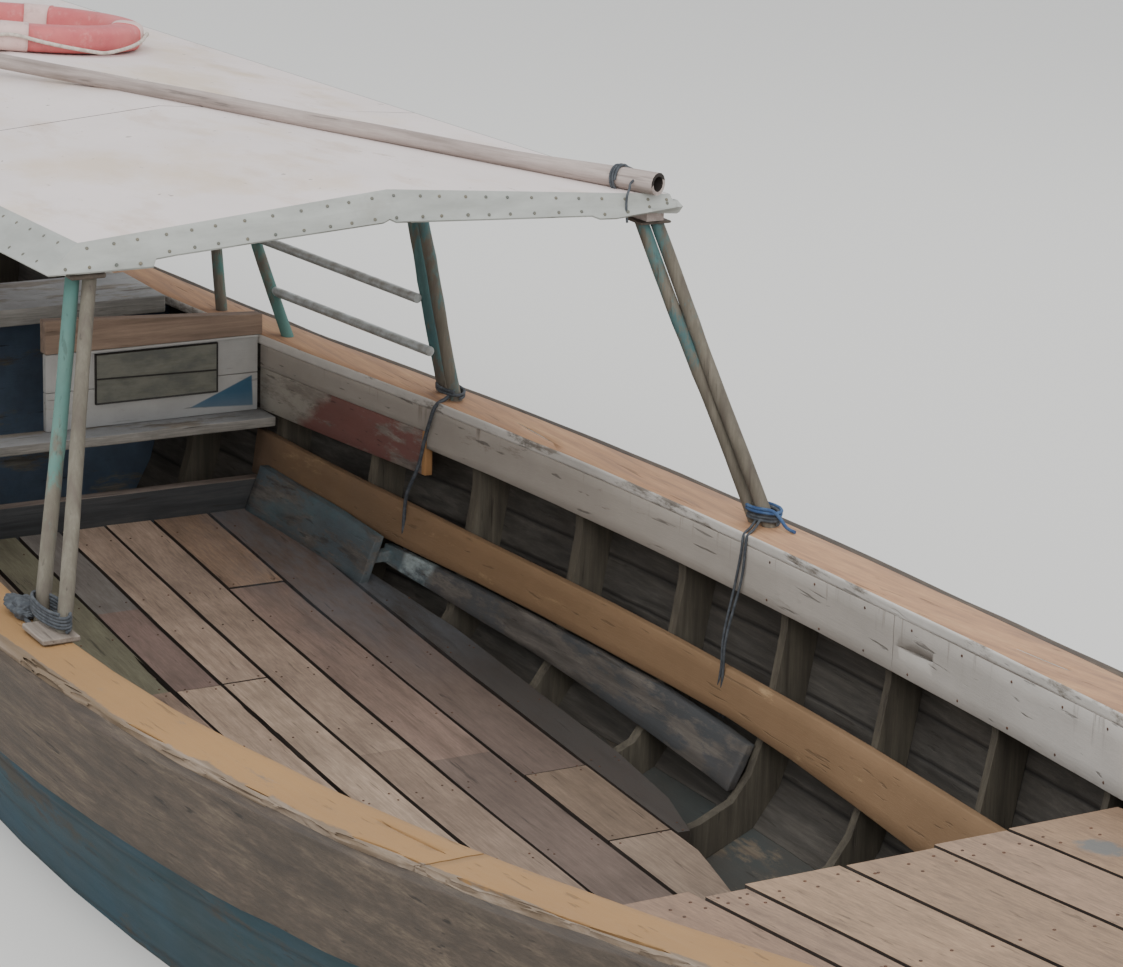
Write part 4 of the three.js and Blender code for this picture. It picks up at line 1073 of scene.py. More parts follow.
pole = {"radius": 0.018, "thin": 0.0165, "bend": 0.0035, "knots": 0.09, "sides": 16, "parts": 18,
        "rail": 0.014, "seatGap": 0.0003, "underRoof": 0.004}
blockPast = (0.034, 0.026)
handrails = (((-1.712, 0.664, 0.742), (-0.838, 0.760, 0.742)),
             ((-1.630, 0.680, 0.596), (-0.800, 0.783, 0.596)))


def standPole(nodeName, line, seed):
    x0, y0, x1, y1 = (value / 1000 for value in line[:4])
    capName = "cap_port" if y0 > 0 else "cap_starboard"
    seat = max(topOf(capName, x0 + reach, y0)[0].z for reach in (-pole["radius"], pole["radius"]))
    seat += pole["seatGap"]
    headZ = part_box(nodeName)[1].z - pole["underRoof"]
    foot, head = Vector((x0, y0, seat)), Vector((x1, y1, headZ))
    obj = addRod(foot + (foot - head) * 0.05, head, pole["radius"], pole["sides"], pole["thin"])
    startEdit(obj)
    bpy.ops.mesh.bisect(plane_co=foot, plane_no=(0, 0, 1), clear_inner=True, use_fill=True)
    run = (head - foot).normalized()
    for step in range(1, pole["parts"]):
        bpy.ops.mesh.select_all(action="SELECT")
        bpy.ops.mesh.bisect(plane_co=foot.lerp(head, step / pole["parts"]), plane_no=run)
    stopEdit()
    low, high = line[4:]
    for vertex in obj.data.vertices:
        share = (vertex.co.z - foot.z) / (head.z - foot.z)
        arch = math.sin(min(max(share, 0), 1) * math.pi)
        vertex.co.x += pole["bend"] * arch * math.sin(share * 5 + seed)
        vertex.co.y += pole["bend"] * arch * math.cos(share * 4 + seed * 1.7)
        knot = noise.noise(Vector((seed, share * 11, 0)))
        core = foot.lerp(head, share)
        vertex.co.x += (vertex.co.x - core.x) * pole["knots"] * knot * arch
        vertex.co.y += (vertex.co.y - core.y) * pole["knots"] * knot * arch
    gradePoints(obj, "paint", lambda p: low + (high - low) * (p.z - foot.z) / (head.z - foot.z))
    smoothByAngle(obj, 40)
    return obj


for seed, (name, post) in enumerate(posts.items()):
    nodeName = f"post_{name}"
    pieces = [standPole(nodeName, line, seed * 2.3 + i) for i, line in enumerate(post["poles"])]
    poles = joinPieces(pieces, f"poles_{name}")
    finishPiece(poles, "turquoise", materials[post["look"]], [nodeName])
    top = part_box(nodeName)[1].z
    xs, ys = ([line[i] / 1000 for line in post["poles"]] for i in (2, 3))
    past, beside = blockPast
    block = addBox((min(xs) - past, min(ys) - beside, top - post["blockDeep"]),
                   (max(xs) + past, max(ys) + beside, top))
    bevelEdges(block, 0.003)
    finishPiece(block, "turquoise", materials["blockWood"], name=f"block_{name}")
seat = topOf("cap_starboard", 0.842, -0.92)[0].z + 0.0006
chock = addBox((0.662, -0.970, seat), (0.792, -0.882, seat + 0.014))
bevelEdges(chock, 0.003)
finishPiece(chock, "turquoise", materials["chockWood"], name="pole_chock")
for side, sign in bothSides:
    rails = []
    for (x0, y0, z0), (x1, y1, z1) in handrails:
        rail = addRod((x0, y0 * sign, z0), (x1, y1 * sign, z1), pole["rail"], 14)
        bevelEdges(rail, 0.002, 2, 60)
        smoothByAngle(rail, 40)
        rails.append(rail)
    rails = joinPieces(rails, f"handrails_{side}")
    finishPiece(rails, "turquoise", materials["galvanised"])
print("posts done")


# lashings: turns of rope round the feet of the poles, cords that hang from them down the far side,
# and one that lies on the near cap
lashings = {
    "near": {"centre": (0.676, -0.9065), "reach": 0.098, "narrow": 0.028, "turn": -1.2, "turns": 5,
             "rope": 0.004, "pitch": 0.0075},
    "far": {"centre": (0.6305, 0.983), "reach": 0.05, "narrow": 0.027, "turn": 11.5, "turns": 4,
            "rope": 0.0045, "pitch": 0.0085},
    "mid": {"centre": (-0.768, 0.8315), "reach": 0.07, "narrow": 0.03, "turn": -6, "turns": 2,
            "rope": 0.0045, "pitch": 0.009},
    "cords": 0.0035, "off": 0.006, "perTurn": 14,
}
# the cords with a free run: their length along the route, in metres, and how they lie
freeCords = {
    "lashing_4": {"length": 0.27, "lay": "loose"},
    "lashing_5": {"length": 0.58, "lay": "hanging"},
    "lashing_6": {"length": 0.58, "lay": "hanging"},
    "lashing_7": {"length": 0.56, "lay": "hanging"},
}


# the line a rope follows
def routeOf(points):
    line = addRope(points, 0.0)
    route = [tuple(vertex.co) for vertex in line.data.vertices]
    bpy.data.objects.remove(line)
    return route


def turnsRound(spec, base, fray=0.0):
    draw = random.Random(70)
    points = []
    cosine, sine = math.cos(math.radians(spec["turn"])), math.sin(math.radians(spec["turn"]))
    for i in range(spec["turns"] * lashings["perTurn"]):
        turn = i / lashings["perTurn"]
        a = turn * 2 * math.pi
        wide = spec["reach"] + draw.uniform(0, fray)
        u, v = wide * math.cos(a), (spec["narrow"] + draw.uniform(0, fray)) * math.sin(a)
        points.append((spec["centre"][0] + u * cosine - v * sine, spec["centre"][1] + u * sine + v * cosine,
                       base + turn * spec["pitch"] + draw.uniform(-0.001, 0.001)))
    return points


# inner edge of the far cap
def capFaceAt(x, fromY, toY):
    return [y / 1000 for y in range(fromY, toY) if topOf("cap_port", x, y / 1000)[0] is not None][0]


def onCap(nodeName, x, y, lift):
    place = topOf(nodeName, x, y)[0]
    return (x, y, place.z + lift)


ropeOff = lashings["off"]
nearBase = topOf("cap_starboard", 0.676, -0.9065)[0].z
farBase = topOf("cap_port", 0.63, 0.975)[0].z
wraps = [
    (turnsRound(lashings["far"], farBase + 0.012, 0.003), lashings["far"]["rope"], "blackRope"),
    (turnsRound({**lashings["far"], "turns": 2, "reach": 0.054, "narrow": 0.032}, farBase + 0.034, 0.004)
     + [(0.69, 0.995, farBase + 0.03), (0.705, 1.0, farBase + 0.014), onCap("cap_port", 0.72, 1.0, 0.007),
        onCap("cap_port", 0.745, 1.004, 0.006)], 0.0045, "blueRope"),
    (turnsRound(lashings["near"], nearBase + 0.026, 0.003), lashings["near"]["rope"], "blackRope"),
    ([onCap("cap_starboard", 0.78, -0.90, 0.007), onCap("cap_starboard", 0.70, -0.955, 0.007),
      onCap("cap_starboard", 0.62, -0.945, 0.007), onCap("cap_starboard", 0.52, -0.925, 0.007)],
     0.005, "blackRope"),
]
capFace = capFaceAt(0.7, 700, 1000)
for shiftX in (0.0, -0.016):
    boardY = sideOf("inner_board_port", 0.69, 0.4, 1)[0].y
    stringerY = sideOf("stringer_port", 0.67, 0.12, 1)[0].y
    topZ = topOf("cap_port", 0.7, capFace + 0.03)[0].z
    wraps.append(([
        (0.652 + shiftX, 0.962, farBase + 0.02), (0.672 + shiftX, 0.935, farBase + 0.008),
        (0.69 + shiftX, capFace + 0.02, topZ + ropeOff), (0.70 + shiftX, capFace - 0.004, topZ + 0.002),
        (0.702 + shiftX, min(capFace, boardY) - ropeOff, topZ - 0.02),
        (0.70 + shiftX, boardY - ropeOff, 0.43), (0.695 + shiftX * 1.6, boardY - ropeOff, 0.37),
        (0.68 + shiftX * 1.2, boardY - 0.01, 0.31), (0.674 + shiftX * 0.8, stringerY - 0.012, 0.2),
        (0.668 + shiftX * 0.4, stringerY - ropeOff, 0.14), (0.662 + shiftX, stringerY - ropeOff, 0.07),
        (0.657 + shiftX * 1.4, stringerY - ropeOff, 0.02), (0.655 + shiftX, stringerY + 0.01, -0.012),
    ], lashings["cords"], "blackRope"))
boardY = sideOf("lower_board_port", -0.79, 0.3, 1)[0].y
highY = sideOf("inner_board_port", -0.74, 0.42, 1)[0].y
stringerY = sideOf("stringer_port", -0.82, 0.12, 1)[0].y
midZ = topOf("cap_port", -0.72, 0.8)[0].z
midFace = capFaceAt(-0.73, 600, 900)
wraps.append(([
    (-0.735, 0.825, midZ + 0.03), (-0.72, 0.80, midZ + 0.008), (-0.715, midFace + 0.01, midZ + ropeOff),
    (-0.72, midFace - 0.008, midZ - 0.01), (-0.735, min(midFace, highY) - 0.008, 0.42),
    (-0.765, boardY - 0.007, 0.34), (-0.78, boardY - 0.008, 0.27), (-0.80, stringerY - 0.012, 0.2),
    (-0.822, stringerY - ropeOff, 0.15), (-0.828, stringerY - ropeOff, 0.09),
    (-0.832, stringerY - ropeOff, 0.03), (-0.83, stringerY + 0.01, 0.0),
], 0.0055, "blackRope"))
wraps.append((turnsRound(lashings["mid"], midZ + 0.012, 0.004), lashings["mid"]["rope"], "blackRope"))
for i, (points, radius, look) in enumerate(wraps):
    rope = addRope(points, radius)
    finishPiece(rope, "bamboo", materials[look])
    rope.name = f"lashing_{i + 1}"
    if rope.name in freeCords:
        route = routeOf(points)
        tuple(route[0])

# a rag stuffed behind the near poles: a crumpled ball of cloth
rag = {"at": (0.555, -0.925), "size": (0.16, 0.075, 0.052)}
deselectAll()
bpy.ops.mesh.primitive_ico_sphere_add(subdivisions=5, radius=0.5)
bundle = bpy.context.object
for vertex in bundle.data.vertices:
    push = noise.noise(vertex.co * 3.2) * 0.3 + abs(noise.noise(vertex.co * 7)) * 0.16
    vertex.co *= 0.8 + push
bundle.scale = rag["size"]
bundle.location = (*rag["at"], topOf("cap_starboard", *rag["at"])[0].z + rag["size"][2] * 0.42)
settle(bundle)
for vertex in bundle.data.vertices:
    place = topOf("cap_starboard", vertex.co.x, vertex.co.y)[0]
    if place is not None:
        vertex.co.z = max(vertex.co.z, place.z + 0.001)
smoothByAngle(bundle, 60)
finishPiece(bundle, "bamboo", materials["blackRope"], name="rag_bundle")
print("lashings done")


# roof: pale sheets with stains, scuffs and their joints
roofLook = {
    "white": wood(17, "#a5958a #bdaea2 #cfc2b7", "#e2d6d2 #dacfcb", 0.0, dirt=0.16, dirtColour="#a39588",
                  cracks=0.0, grainBump=0.03, crackBump=0.0, fibre=0.03, dirtScale=1.1),
    "lift": 0.002, "edge": 0.0015, "joint": (-0.8805, -0.8755),
}


def roofMaterial():
    desk = NodeDesk("roofWood")
    colour, rough, normal = woodLayers(desk, roofLook["white"])
    stain = desk.noise(desk.stretched((0.8, 2.2, 1)), 2.6, 7, 0.62)
    colour = desk.stain(colour, "#bba58c", stain, 0.56, 0.72, 0.55)
    scuff = desk.noise(desk.stretched((3.5, 9, 1), (4, 2, 0)), 3.2, 9, 0.75)
    colour = desk.stain(colour, "#6b5748", scuff, 0.66, 0.7, 0.75)
    yellow = desk.noise(desk.stretched((0.9, 1.5, 1), (7, 3, 0)), 1.7, 6, 0.6)
    colour = desk.stain(colour, "#cbb48d", yellow, 0.52, 0.66, 0.45)
    x = desk.axis("X")
    bow = desk.times(desk.minus(desk.noise(desk.stretched((1, 1, 1)), 1.1, 2), 0.5), 0.012)
    x = desk.plus(x, bow)
    start, stop = roofLook["joint"]
    joint = desk.minus(desk.above(x, start, 0.001), desk.above(x, stop, 0.001))
    colour = desk.mix(desk.times(joint, 0.85), colour, "#3b332d")
    speck = desk.noise(desk.stretched((1, 1, 1), (2, 7, 0)), 30, 2)
    colour = desk.stain(colour, "#7a6a5e", speck, 0.73, 0.76, 0.7)
    return desk.finish(colour, rough, normal)


materials["roofWood"] = roofMaterial()
for i in (1, 2, 3):
    sheet = copyNode(f"roof_sheet_{i}", f"roof_board_{i}")
    bevelEdges(sheet, roofLook["edge"])
    low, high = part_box(f"roof_sheet_{i}")
    sliceAcross(sheet, "x", [low.x + (high.x - low.x) * step / 14 for step in range(1, 14)])
    sliceAcross(sheet, "y", [step * 0.1 for step in range(-7, 8)])
    for vertex in sheet.data.vertices:
        inner = min(vertex.co.x - low.x, high.x - vertex.co.x, vertex.co.y - low.y, high.y - vertex.co.y)
        wave = noise.noise(Vector((vertex.co.x * 1.6, vertex.co.y * 2.4, i)))
        vertex.co.z += roofLook["lift"] * max(wave, 0) * min(inner / 0.08, 1)
    smoothByAngle(sheet, 20)
    finishPiece(sheet, "roof_sheet", materials["roofWood"], [f"roof_sheet_{i}"])
print("roof sheets done")


# fascia: its lower edge cut unevenly, with two rows of nail heads
roofSlope = 0.0868
fascia = {
    "front": ((-0.86, 1.233), (-0.592, 1.233), (-0.586, 1.251), (-0.536, 1.256), (-0.02, 1.289),
              (-0.005, 1.296), (0.012, 1.288), (0.533, 1.263), (0.556, 1.254), (0.6, 1.252),
              (0.769, 1.266), (0.8, 1.267)),
    "nailEvery": 0.062, "nailInset": 0.013, "topRows": (0.778, 0.828), "wave": 0.0018,
    "portRise": 0.021, "outerRise": 0.004, "nearWave": 0.003,
}


# the value that pairs of place and value give at a place, held at both ends
def valueAt(pairs, place):
    place = max(place, pairs[0][0])
    for (a, first), (b, second) in zip(pairs, pairs[1:]):
        if place <= b:
            return first + (second - first) * (place - a) / (b - a)
    return pairs[-1][1]


def fasciaMaterial():
    desk = NodeDesk("fasciaSheet")
    run = desk.noise(desk.stretched((3, 3, 14)), 2.2, 6)
    blot = desk.noise(desk.place, 5, 8, 0.7)
    colour = desk.mix(desk.fade(run, 0.35, 0.65), "#abada7", "#9b9d97")
    colour = desk.stain(colour, "#8b877c", blot, 0.55, 0.75, 0.5)
    # painted shade: the near end of the fascia is darkened toward grey to hold back the stronger light that
    # falls on it
    nearSideShade = desk.minus(1.0, desk.above(desk.axis("Y"), -0.8, 0.9))
    colour = desk.mix(desk.times(nearSideShade, 0.28), colour, "#7f8079")
    normal = desk.bump(blot, 0.12, 0.003)
    return desk.finish(colour, 0.6, normal)


materials["fasciaSheet"] = fasciaMaterial()
skirt = copyNode("fascia", "fascia_sheet")
corners = {pair[0] for pair in fascia["front"]}
sliceAcross(skirt, "y", sorted(corners | {step / 20 for step in range(-16, 16)}))
sliceAcross(skirt, "x", [step * 0.1 for step in range(-36, 6)])
for vertex in skirt.data.vertices:
    place = vertex.co
    if place.x > 0.505:
        rise = fascia["outerRise"] if place.x > 0.512 else 0.0
        place.z = valueAt(fascia["front"], place.y) + rise
        place.x -= fascia["wave"] * (1 + noise.noise(Vector((place.x, place.y * 5, 3))))
    elif place.y > 0.775:
        place.z += fascia["portRise"]
    elif place.y < -0.835:
        place.z += fascia["nearWave"] * noise.noise(Vector((place.x * 4, 0, 7)))
smoothByAngle(skirt, 25)
finishPiece(skirt, "fascia", materials["fasciaSheet"], ["fascia"])
places = []
draw = random.Random(60)
y = -0.8
while y < 0.76:
    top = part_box("fascia")[1].z - roofSlope * abs(y) * (1 if abs(y) < 0.76 else 0)
    for z in (top - fascia["nailInset"], valueAt(fascia["front"], y) + fascia["nailInset"]):
        place, normal = hitFrom(skirt, (2, y, z), (-1, 0, 0))
        if place and place.x > 0.4:
            places.append((place, normal))
    y += fascia["nailEvery"] * draw.uniform(0.8, 1.2)
x = -3.5
while x < 0.46:
    for across in fascia["topRows"]:
        place, normal = hitFrom(skirt, (x, -across, 3), down)
        if place:
            places.append((place, normal))
    x += fascia["nailEvery"] * 1.4
nails = addNails(places, "fascia_nails", 0.0042)
finishPiece(nails, "fascia", materials["dullNail"])
print("fascia done")


# roof pole: a long bare pole, tied down at its forward end
roofPole = {
    "tip": (0.514, 0.712), "end": (-2.162, -0.392), "tie": 0.042, "ropeRadius": 0.0032, "radius": 0.028,
    "thin": 0.78, "thinFrom": 0.05, "thinOver": 0.35,
}
bar = copyNode("roof_pole", "bare_roof_pole")
sliceAcross(bar, "x", [x / 12 for x in range(-26, 6)])
weather(bar, 0.0022, (5, 5, 5), 20, lambda p: 1.0 if p.x < 0.38 else 0.4)
boxLow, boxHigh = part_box("roof_pole")
tipPoints = [v.co for v in bar.data.vertices if v.co.x > 0.47]
tipAt = sum(tipPoints, Vector()) / len(tipPoints)
(tipX, tipY), (endX, endY) = roofPole["tip"], roofPole["end"]
fall = 2 * roofPole["radius"] - (boxHigh.z - boxLow.z)
poleRun = Vector((endX - tipX, endY - tipY, fall)).normalized()
for vertex in bar.data.vertices:  # it narrows behind its tip and still lies on the roof
    along = (vertex.co - tipAt).dot(poleRun)
    core = tipAt + poleRun * along
    share = min(max((along - roofPole["thinFrom"]) / roofPole["thinOver"], 0), 1)
    narrow = 1 - (1 - roofPole["thin"]) * share
    vertex.co = core + (vertex.co - core) * narrow
    vertex.co.z -= roofPole["radius"] * (1 - narrow)


# the faces inside the bore at the open tip, for the painted shade there
def boreShadeShare(c, n):
    out = c - tipAt
    out -= poleRun * out.dot(poleRun)
    return 1.0 if c.x > 0.40 and out.length < 0.0225 and n.dot(out) <= 0.0001 else 0.0


gradeFaces(bar, "hollow", boreShadeShare)
smoothByAngle(bar, 40)


def roofPoleMaterial():
    desk = NodeDesk("roofPoleWood")
    colour, rough, normal = woodLayers(desk, woodLooks["roofPoleWood"])
    # painted shade: the inside of the bore is painted near black
    colour = desk.mix(desk.attribute("hollow"), colour, "#2b2420")
    return desk.finish(colour, rough, normal)


materials["roofPoleWood"] = roofPoleMaterial()
finishPiece(bar, "bamboo", materials["roofPoleWood"], ["roof_pole"])


def poleAt(share):
    x, y = tipX + (endX - tipX) * share, tipY + (endY - tipY) * share
    place = hitFrom(bar, (x, y, 3), down)[0]
    return Vector((x, y, place.z - roofPole["radius"]))


centre = poleAt(roofPole["tie"])
run = (poleAt(0.06) - poleAt(0.03)).normalized()
across = Vector((0, 0, 1)).cross(run).normalized()
over = run.cross(across)
ring = roofPole["radius"] + roofPole["ropeRadius"] + 0.0025
points = [centre + run * (0.0075 * i / 12 - 0.014) + (across * math.cos(i * math.pi / 6)
          + over * math.sin(i * math.pi / 6)) * ring for i in range(28)]
tail = [points[-1] + Vector(step) for step in ((0.02, 0.03, -0.01), (0.06, 0.035, -0.02))]
edge = hitFrom(skirt, (2, 0.63, 1.29), (-1, 0, 0))[0]
tail += [Vector((0.478, 0.65, 1.332)), Vector((0.492, 0.648, 1.32)), edge + Vector((0.008, 0, 0.02)),
         edge + Vector((0.012, 0, -0.02)), edge + Vector((0.008, 0.006, -0.05))]
tie = addRope(points + tail, roofPole["ropeRadius"])
finishPiece(tie, "bamboo", materials["blackRope"], name="roof_pole_tie")
print("roof pole done")


# ring buoy: a soft red ring with pale bands and a grab line
buoy = {
    "centre": (-2.285, 0.155), "radius": 0.305, "deep": 0.042, "across": 0.052,
    "bands": (333, 63, 153, 243), "bandHalf": 7, "bandRise": 0.0022, "line": 0.0055, "square": 3.2,
}
ringBuoy = copyNode("lifebuoy", "ring_buoy")
finer = ringBuoy.modifiers.new("rounder", "SUBSURF")
finer.levels = finer.render_levels = 2
applyModifiers(ringBuoy)
boxLow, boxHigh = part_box("lifebuoy")
heart = (boxLow + boxHigh) / 2
up = Vector((-0.029, roofSlope, 1)).normalized()
ahead = Vector((1, 0, 0.029)).normalized()
beside = up.cross(ahead)


def buoyAngle(place):
    out = place - heart
    return math.degrees(math.atan2(out.dot(beside), out.dot(ahead))) % 360


def bandNear(place):
    return any(abs((buoyAngle(place) - at + 180) % 360 - 180) < buoy["bandHalf"] for at in buoy["bands"])


for vertex in ringBuoy.data.vertices:  # the section is squarer than an oval
    out = vertex.co - heart
    lift = out.dot(up)
    flat = out - up * lift
    reach = flat.length - buoy["radius"]
    u, v = reach / buoy["across"], lift / buoy["deep"]
    size = math.hypot(u, v)
    power = buoy["square"]
    grow = size / max((abs(u) ** power + abs(v) ** power) ** (1 / power), 0.01)
    vertex.co = heart + flat.normalized() * (buoy["radius"] + reach * grow) + up * (lift * grow)
selectFaces(ringBuoy, lambda face: bandNear(face.center))
bpy.ops.mesh.extrude_region_shrink_fatten(TRANSFORM_OT_shrink_fatten={"value": buoy["bandRise"]})
stopEdit()
marked = [float(polygon.select) for polygon in ringBuoy.data.polygons]
ringBuoy.data.attributes.new("band", "FLOAT", "FACE").data.foreach_set("value", marked)
smoothByAngle(ringBuoy, 50)


def buoyMaterial():
    desk = NodeDesk("buoyShell")
    patches = desk.noise(desk.place, 6, 7, 0.65)
    fine = desk.noise(desk.place, 40, 5)
    red = desk.mix(desk.fade(patches, 0.35, 0.65), "#c86a68", "#b9575a")
    red = desk.stain(red, "#d9a49e", fine, 0.55, 0.75, 0.35)
    pale = desk.mix(desk.fade(patches, 0.4, 0.7), "#d6b9b2", "#c7a39c")
    colour = desk.mix(desk.attribute("band"), red, pale)
    dirt = desk.fade(desk.noise(desk.place, 14, 8, 0.7), 0.56, 0.75, 0.6)
    colour = desk.mix(dirt, colour, "#7d5a53")
    return desk.finish(colour, 0.55, desk.bump(fine, 0.15, 0.002))


materials["buoyShell"] = buoyMaterial()
finishPiece(ringBuoy, "buoy", materials["buoyShell"], ["lifebuoy"])
points = []
for degree in range(0, 360, 6):
    a = math.radians(degree)
    toBand = min(abs((degree - at + 180) % 360 - 180) for at in buoy["bands"])
    slack = min(toBand / 45, 1) ** 0.7
    out = buoy["radius"] + buoy["across"] + 0.0065 + 0.008 * slack
    lift = buoy["deep"] * (0.45 - 1.2 * slack)
    points.append(heart + (ahead * math.cos(a) + beside * math.sin(a)) * out + up * lift)
line = addRope(points, buoy["line"], closed=True)
finishPiece(line, "buoy", materials["creamRope"], name="grab_line")
print("ring buoy done")


# partition aft: two white planks with a blue corner, a plain plate, a beam and a ledge
partition = {
    "face": -1.590, "thick": 0.024, "hollow": 0.0012,
    "from": -0.056, "to": 0.613, "foot": 0.246, "top": 0.4757,
    "seamZ": 0.362, "bevel": 0.0018,
    "corner": ((0.394, 0.273), (0.598, 0.261), (0.594, 0.354)),
    "look": wood(16, "#575047 #8f8678 #aaa294", "#b4b2ad #a2a19c", 0.12, run="y", dirt=0.35,
                 dirtColour="#77736c", fibre=0.15, cracks=0.35),
}


def partitionMaterial():
    desk = NodeDesk("partitionWood")
    colour, rough, normal = woodLayers(desk, partition["look"])
    y, z = desk.axis("Y"), desk.axis("Z")
    inside = None
    corner = partition["corner"]
    for (y0, z0), (y1, z1) in zip(corner, corner[1:] + corner[:1]):
        length = math.hypot(y1 - y0, z1 - z0)
        first = desk.times(desk.minus(z, z0), (y1 - y0) / length)
        second = desk.times(desk.minus(y, y0), (z1 - z0) / length)
        share = desk.above(desk.minus(first, second), 0.0, 0.004)
        inside = desk.times(inside, share) if inside else share
    blue = desk.mix(desk.noise(desk.place, 18, 6), "#2f5570", "#44667a")
    colour = desk.mix(inside, colour, blue)
    foot = desk.ramp(z, [(0.25, 0.5), (0.31, 0.0)])
    colour = desk.mix(foot, colour, "#7d8185")
    return desk.finish(colour, rough, normal)


materials["partitionWood"] = partitionMaterial()
back = partition["face"] - partition["thick"]
boards = []
for z0, z1 in ((partition["foot"] + 0.0005, partition["seamZ"] - 0.001),
               (partition["seamZ"] + 0.001, partition["top"])):
    board = addBox((back, partition["from"], z0), (partition["face"], partition["to"], z1))
    bevelEdges(board, partition["bevel"], 2)
    sliceAcross(board, "y", [step * 0.05 for step in range(0, 13)])
    for vertex in board.data.vertices:
        if vertex.co.x < back + 0.012:
            continue
        wave = noise.noise(Vector((z0 * 40, vertex.co.y * 7, 0)))
        vertex.co.x += partition["hollow"] * wave - partition["hollow"]
    boards.append(board)
boards = joinPieces(boards, "partition_planks")
finishPiece(boards, "white_board", materials["partitionWood"], ["partition_boards"])

# plate: bare board in a thin dark frame, with a strip across
plate = {"low": (-1.590, 0.094, 0.3155), "high": (-1.5795, 0.480, 0.4675), "frame": 0.0045, "sink": 0.003,
         "strip": (0.392, 0.384)}
panel = addBox(plate["low"], plate["high"])
selectFaces(panel, lambda face: face.normal.x > 0.9)
bpy.ops.mesh.inset(thickness=plate["frame"])
bpy.ops.transform.translate(value=(-plate["sink"], 0, 0))
stopEdit()
gradeFaces(panel, "frame", lambda c, n: 0.0 if n.x > 0.9 and abs(c.y - 0.287) < 0.05 else 1.0)
strip = addBox((plate["high"][0] - plate["sink"], 0.0985, -0.0022), (plate["high"][0], 0.4755, 0.0022))
for vertex in strip.data.vertices:
    share = (vertex.co.y - 0.0985) / 0.377
    vertex.co.z += plate["strip"][0] + (plate["strip"][1] - plate["strip"][0]) * share
gradeFaces(strip, "frame", lambda c, n: 1.0)
panel = joinPieces([panel, strip], "blank_plate")


def plateMaterial():
    desk = NodeDesk("plateBoard")
    smear = desk.noise(desk.stretched((1, 1.4, 3)), 7, 7, 0.65)
    colour = desk.mix(desk.fade(smear, 0.38, 0.62), "#5e5f58", "#757468")
    grain = desk.noise(desk.stretched((1, 3, 40)), 6, 4)
    colour = desk.stain(colour, "#54523f", grain, 0.5, 0.7, 0.3)
    colour = desk.mix(desk.attribute("frame"), colour, "#26231f")
    return desk.finish(colour, 0.6, desk.bump(grain, 0.15, 0.001))


materials["plateBoard"] = plateMaterial()
finishPiece(panel, "plate", materials["plateBoard"], ["name_board"])

# beam along the top: deeper at its inboard end, with a pale batten under it
beam = {"back": -1.634, "front": -1.590, "from": -0.056, "to": 0.628, "footFrom": 0.4775, "footTo": 0.4765,
        "topFrom": 0.577, "topTo": 0.538, "bevel": 0.003}
rail = addBox((beam["back"], beam["from"], 0.4), (beam["front"], beam["to"], 0.5))
for vertex in rail.data.vertices:
    share = (vertex.co.y - beam["from"]) / (beam["to"] - beam["from"])
    ends = ("footFrom", "footTo") if vertex.co.z < 0.45 else ("topFrom", "topTo")
    vertex.co.z = beam[ends[0]] + (beam[ends[1]] - beam[ends[0]]) * share
bevelEdges(rail, beam["bevel"], 2)
finishPiece(rail, "beam_wood", materials["beamWood"], ["partition_beam"], name="partition_rail")
batten = addBox((-1.5898, 0.05, 0.4705), (-1.583, 0.612, 0.4775))
bevelEdges(batten, 0.0015)
finishPiece(batten, "white_board", materials["partitionWood"], name="pale_batten")

# ledge, worn round, and the step at the floor, its front face painted near black as painted shade under the
# ledge
shadedStepLook = {
    "top": wood(20, "#51463f #80736a #978a80", run="y", dirt=0.4),
    # painted shade: the step's front face, under the ledge, in near-black tones with a near-black dirt
    # colour
    "face": wood(27, "#262728 #3a3b3c #4b4a49", run="y", dirt=0.4, dirtColour="#1f2224"),
}
ledgeLook = {
    "top": wood(14, "#4b453e #857d72 #9b9387", "#9fa09f #8d8f90", 0.35, run="y"),
    "face": wood(29, "#5a5854 #9c9890 #b1aca4", run="y", dirt=0.5, cracks=0.8),
}
for nodeName, pieceName, look, slotName in (
        ("ledge", "worn_ledge", ledgeLook, "ledge_wood"), ("step_beam", "dark_step", shadedStepLook, "beam_wood"),
        ("aft_bench", "worn_bench", ledgeLook, "ledge_wood")):
    obj = copyNode(nodeName, pieceName)
    bevelEdges(obj, 0.004, 2)
    sliceAcross(obj, "y", [step * 0.05 for step in range(-12, 13)])
    for vertex in obj.data.vertices:
        push = noise.noise_vector(Vector((vertex.co.x * 20, vertex.co.y * 4, vertex.co.z * 20)))
        vertex.co.x += 0.0025 * push.x
        vertex.co.z -= 0.001 * abs(push.z)
    gradeFaces(obj, "face", lambda c, n: 1.0 if n.x > 0.5 else 0.0)
    smoothByAngle(obj, 40)
    finishPiece(obj, slotName, twoSided(pieceName + "Wood", look), [nodeName])
print("partition done")


# pieces that keep the shape of their solid, with eased edges: piece name, body, edge, material
eased = {
    "transom": ("transom_boards", "boat", 0.004, "blueHull"),
    "bow_block": ("bow_post", "boat", 0.006, "bareCap"),
    "keel": ("worn_keel", "boat", 0.004, "bottomWood"),
    "aft_bulkhead": ("bulkhead_boards", "boat", 0.0015, "blueInner"),
    "roof_frame": ("roof_poles", "boat", 0.002, "roofPoleWood"),
    "motor_bracket": ("motor_mount", "boat", 0.0025, "darkSteel"),
    "motor_yoke": ("swivel_yoke", "swivel", 0.0025, "castMetal"),
    "engine_cradle": ("cradle_frame", "motor", 0.002, "darkSteel"),
    "engine_block": ("block_casting", "motor", 0.004, "engineRed"),
    "valve_cover": ("rocker_cover", "motor", 0.006, "castMetal"),
    "alternator": ("generator", "motor", 0.004, "alloy"),
    "bell_housing": ("bell_casting", "motor", 0.004, "castMetal"),
    "shaft_tube": ("long_tail", "motor", 0.0015, "tubeSteel"),
}
materials["blueHull"] = blueHull
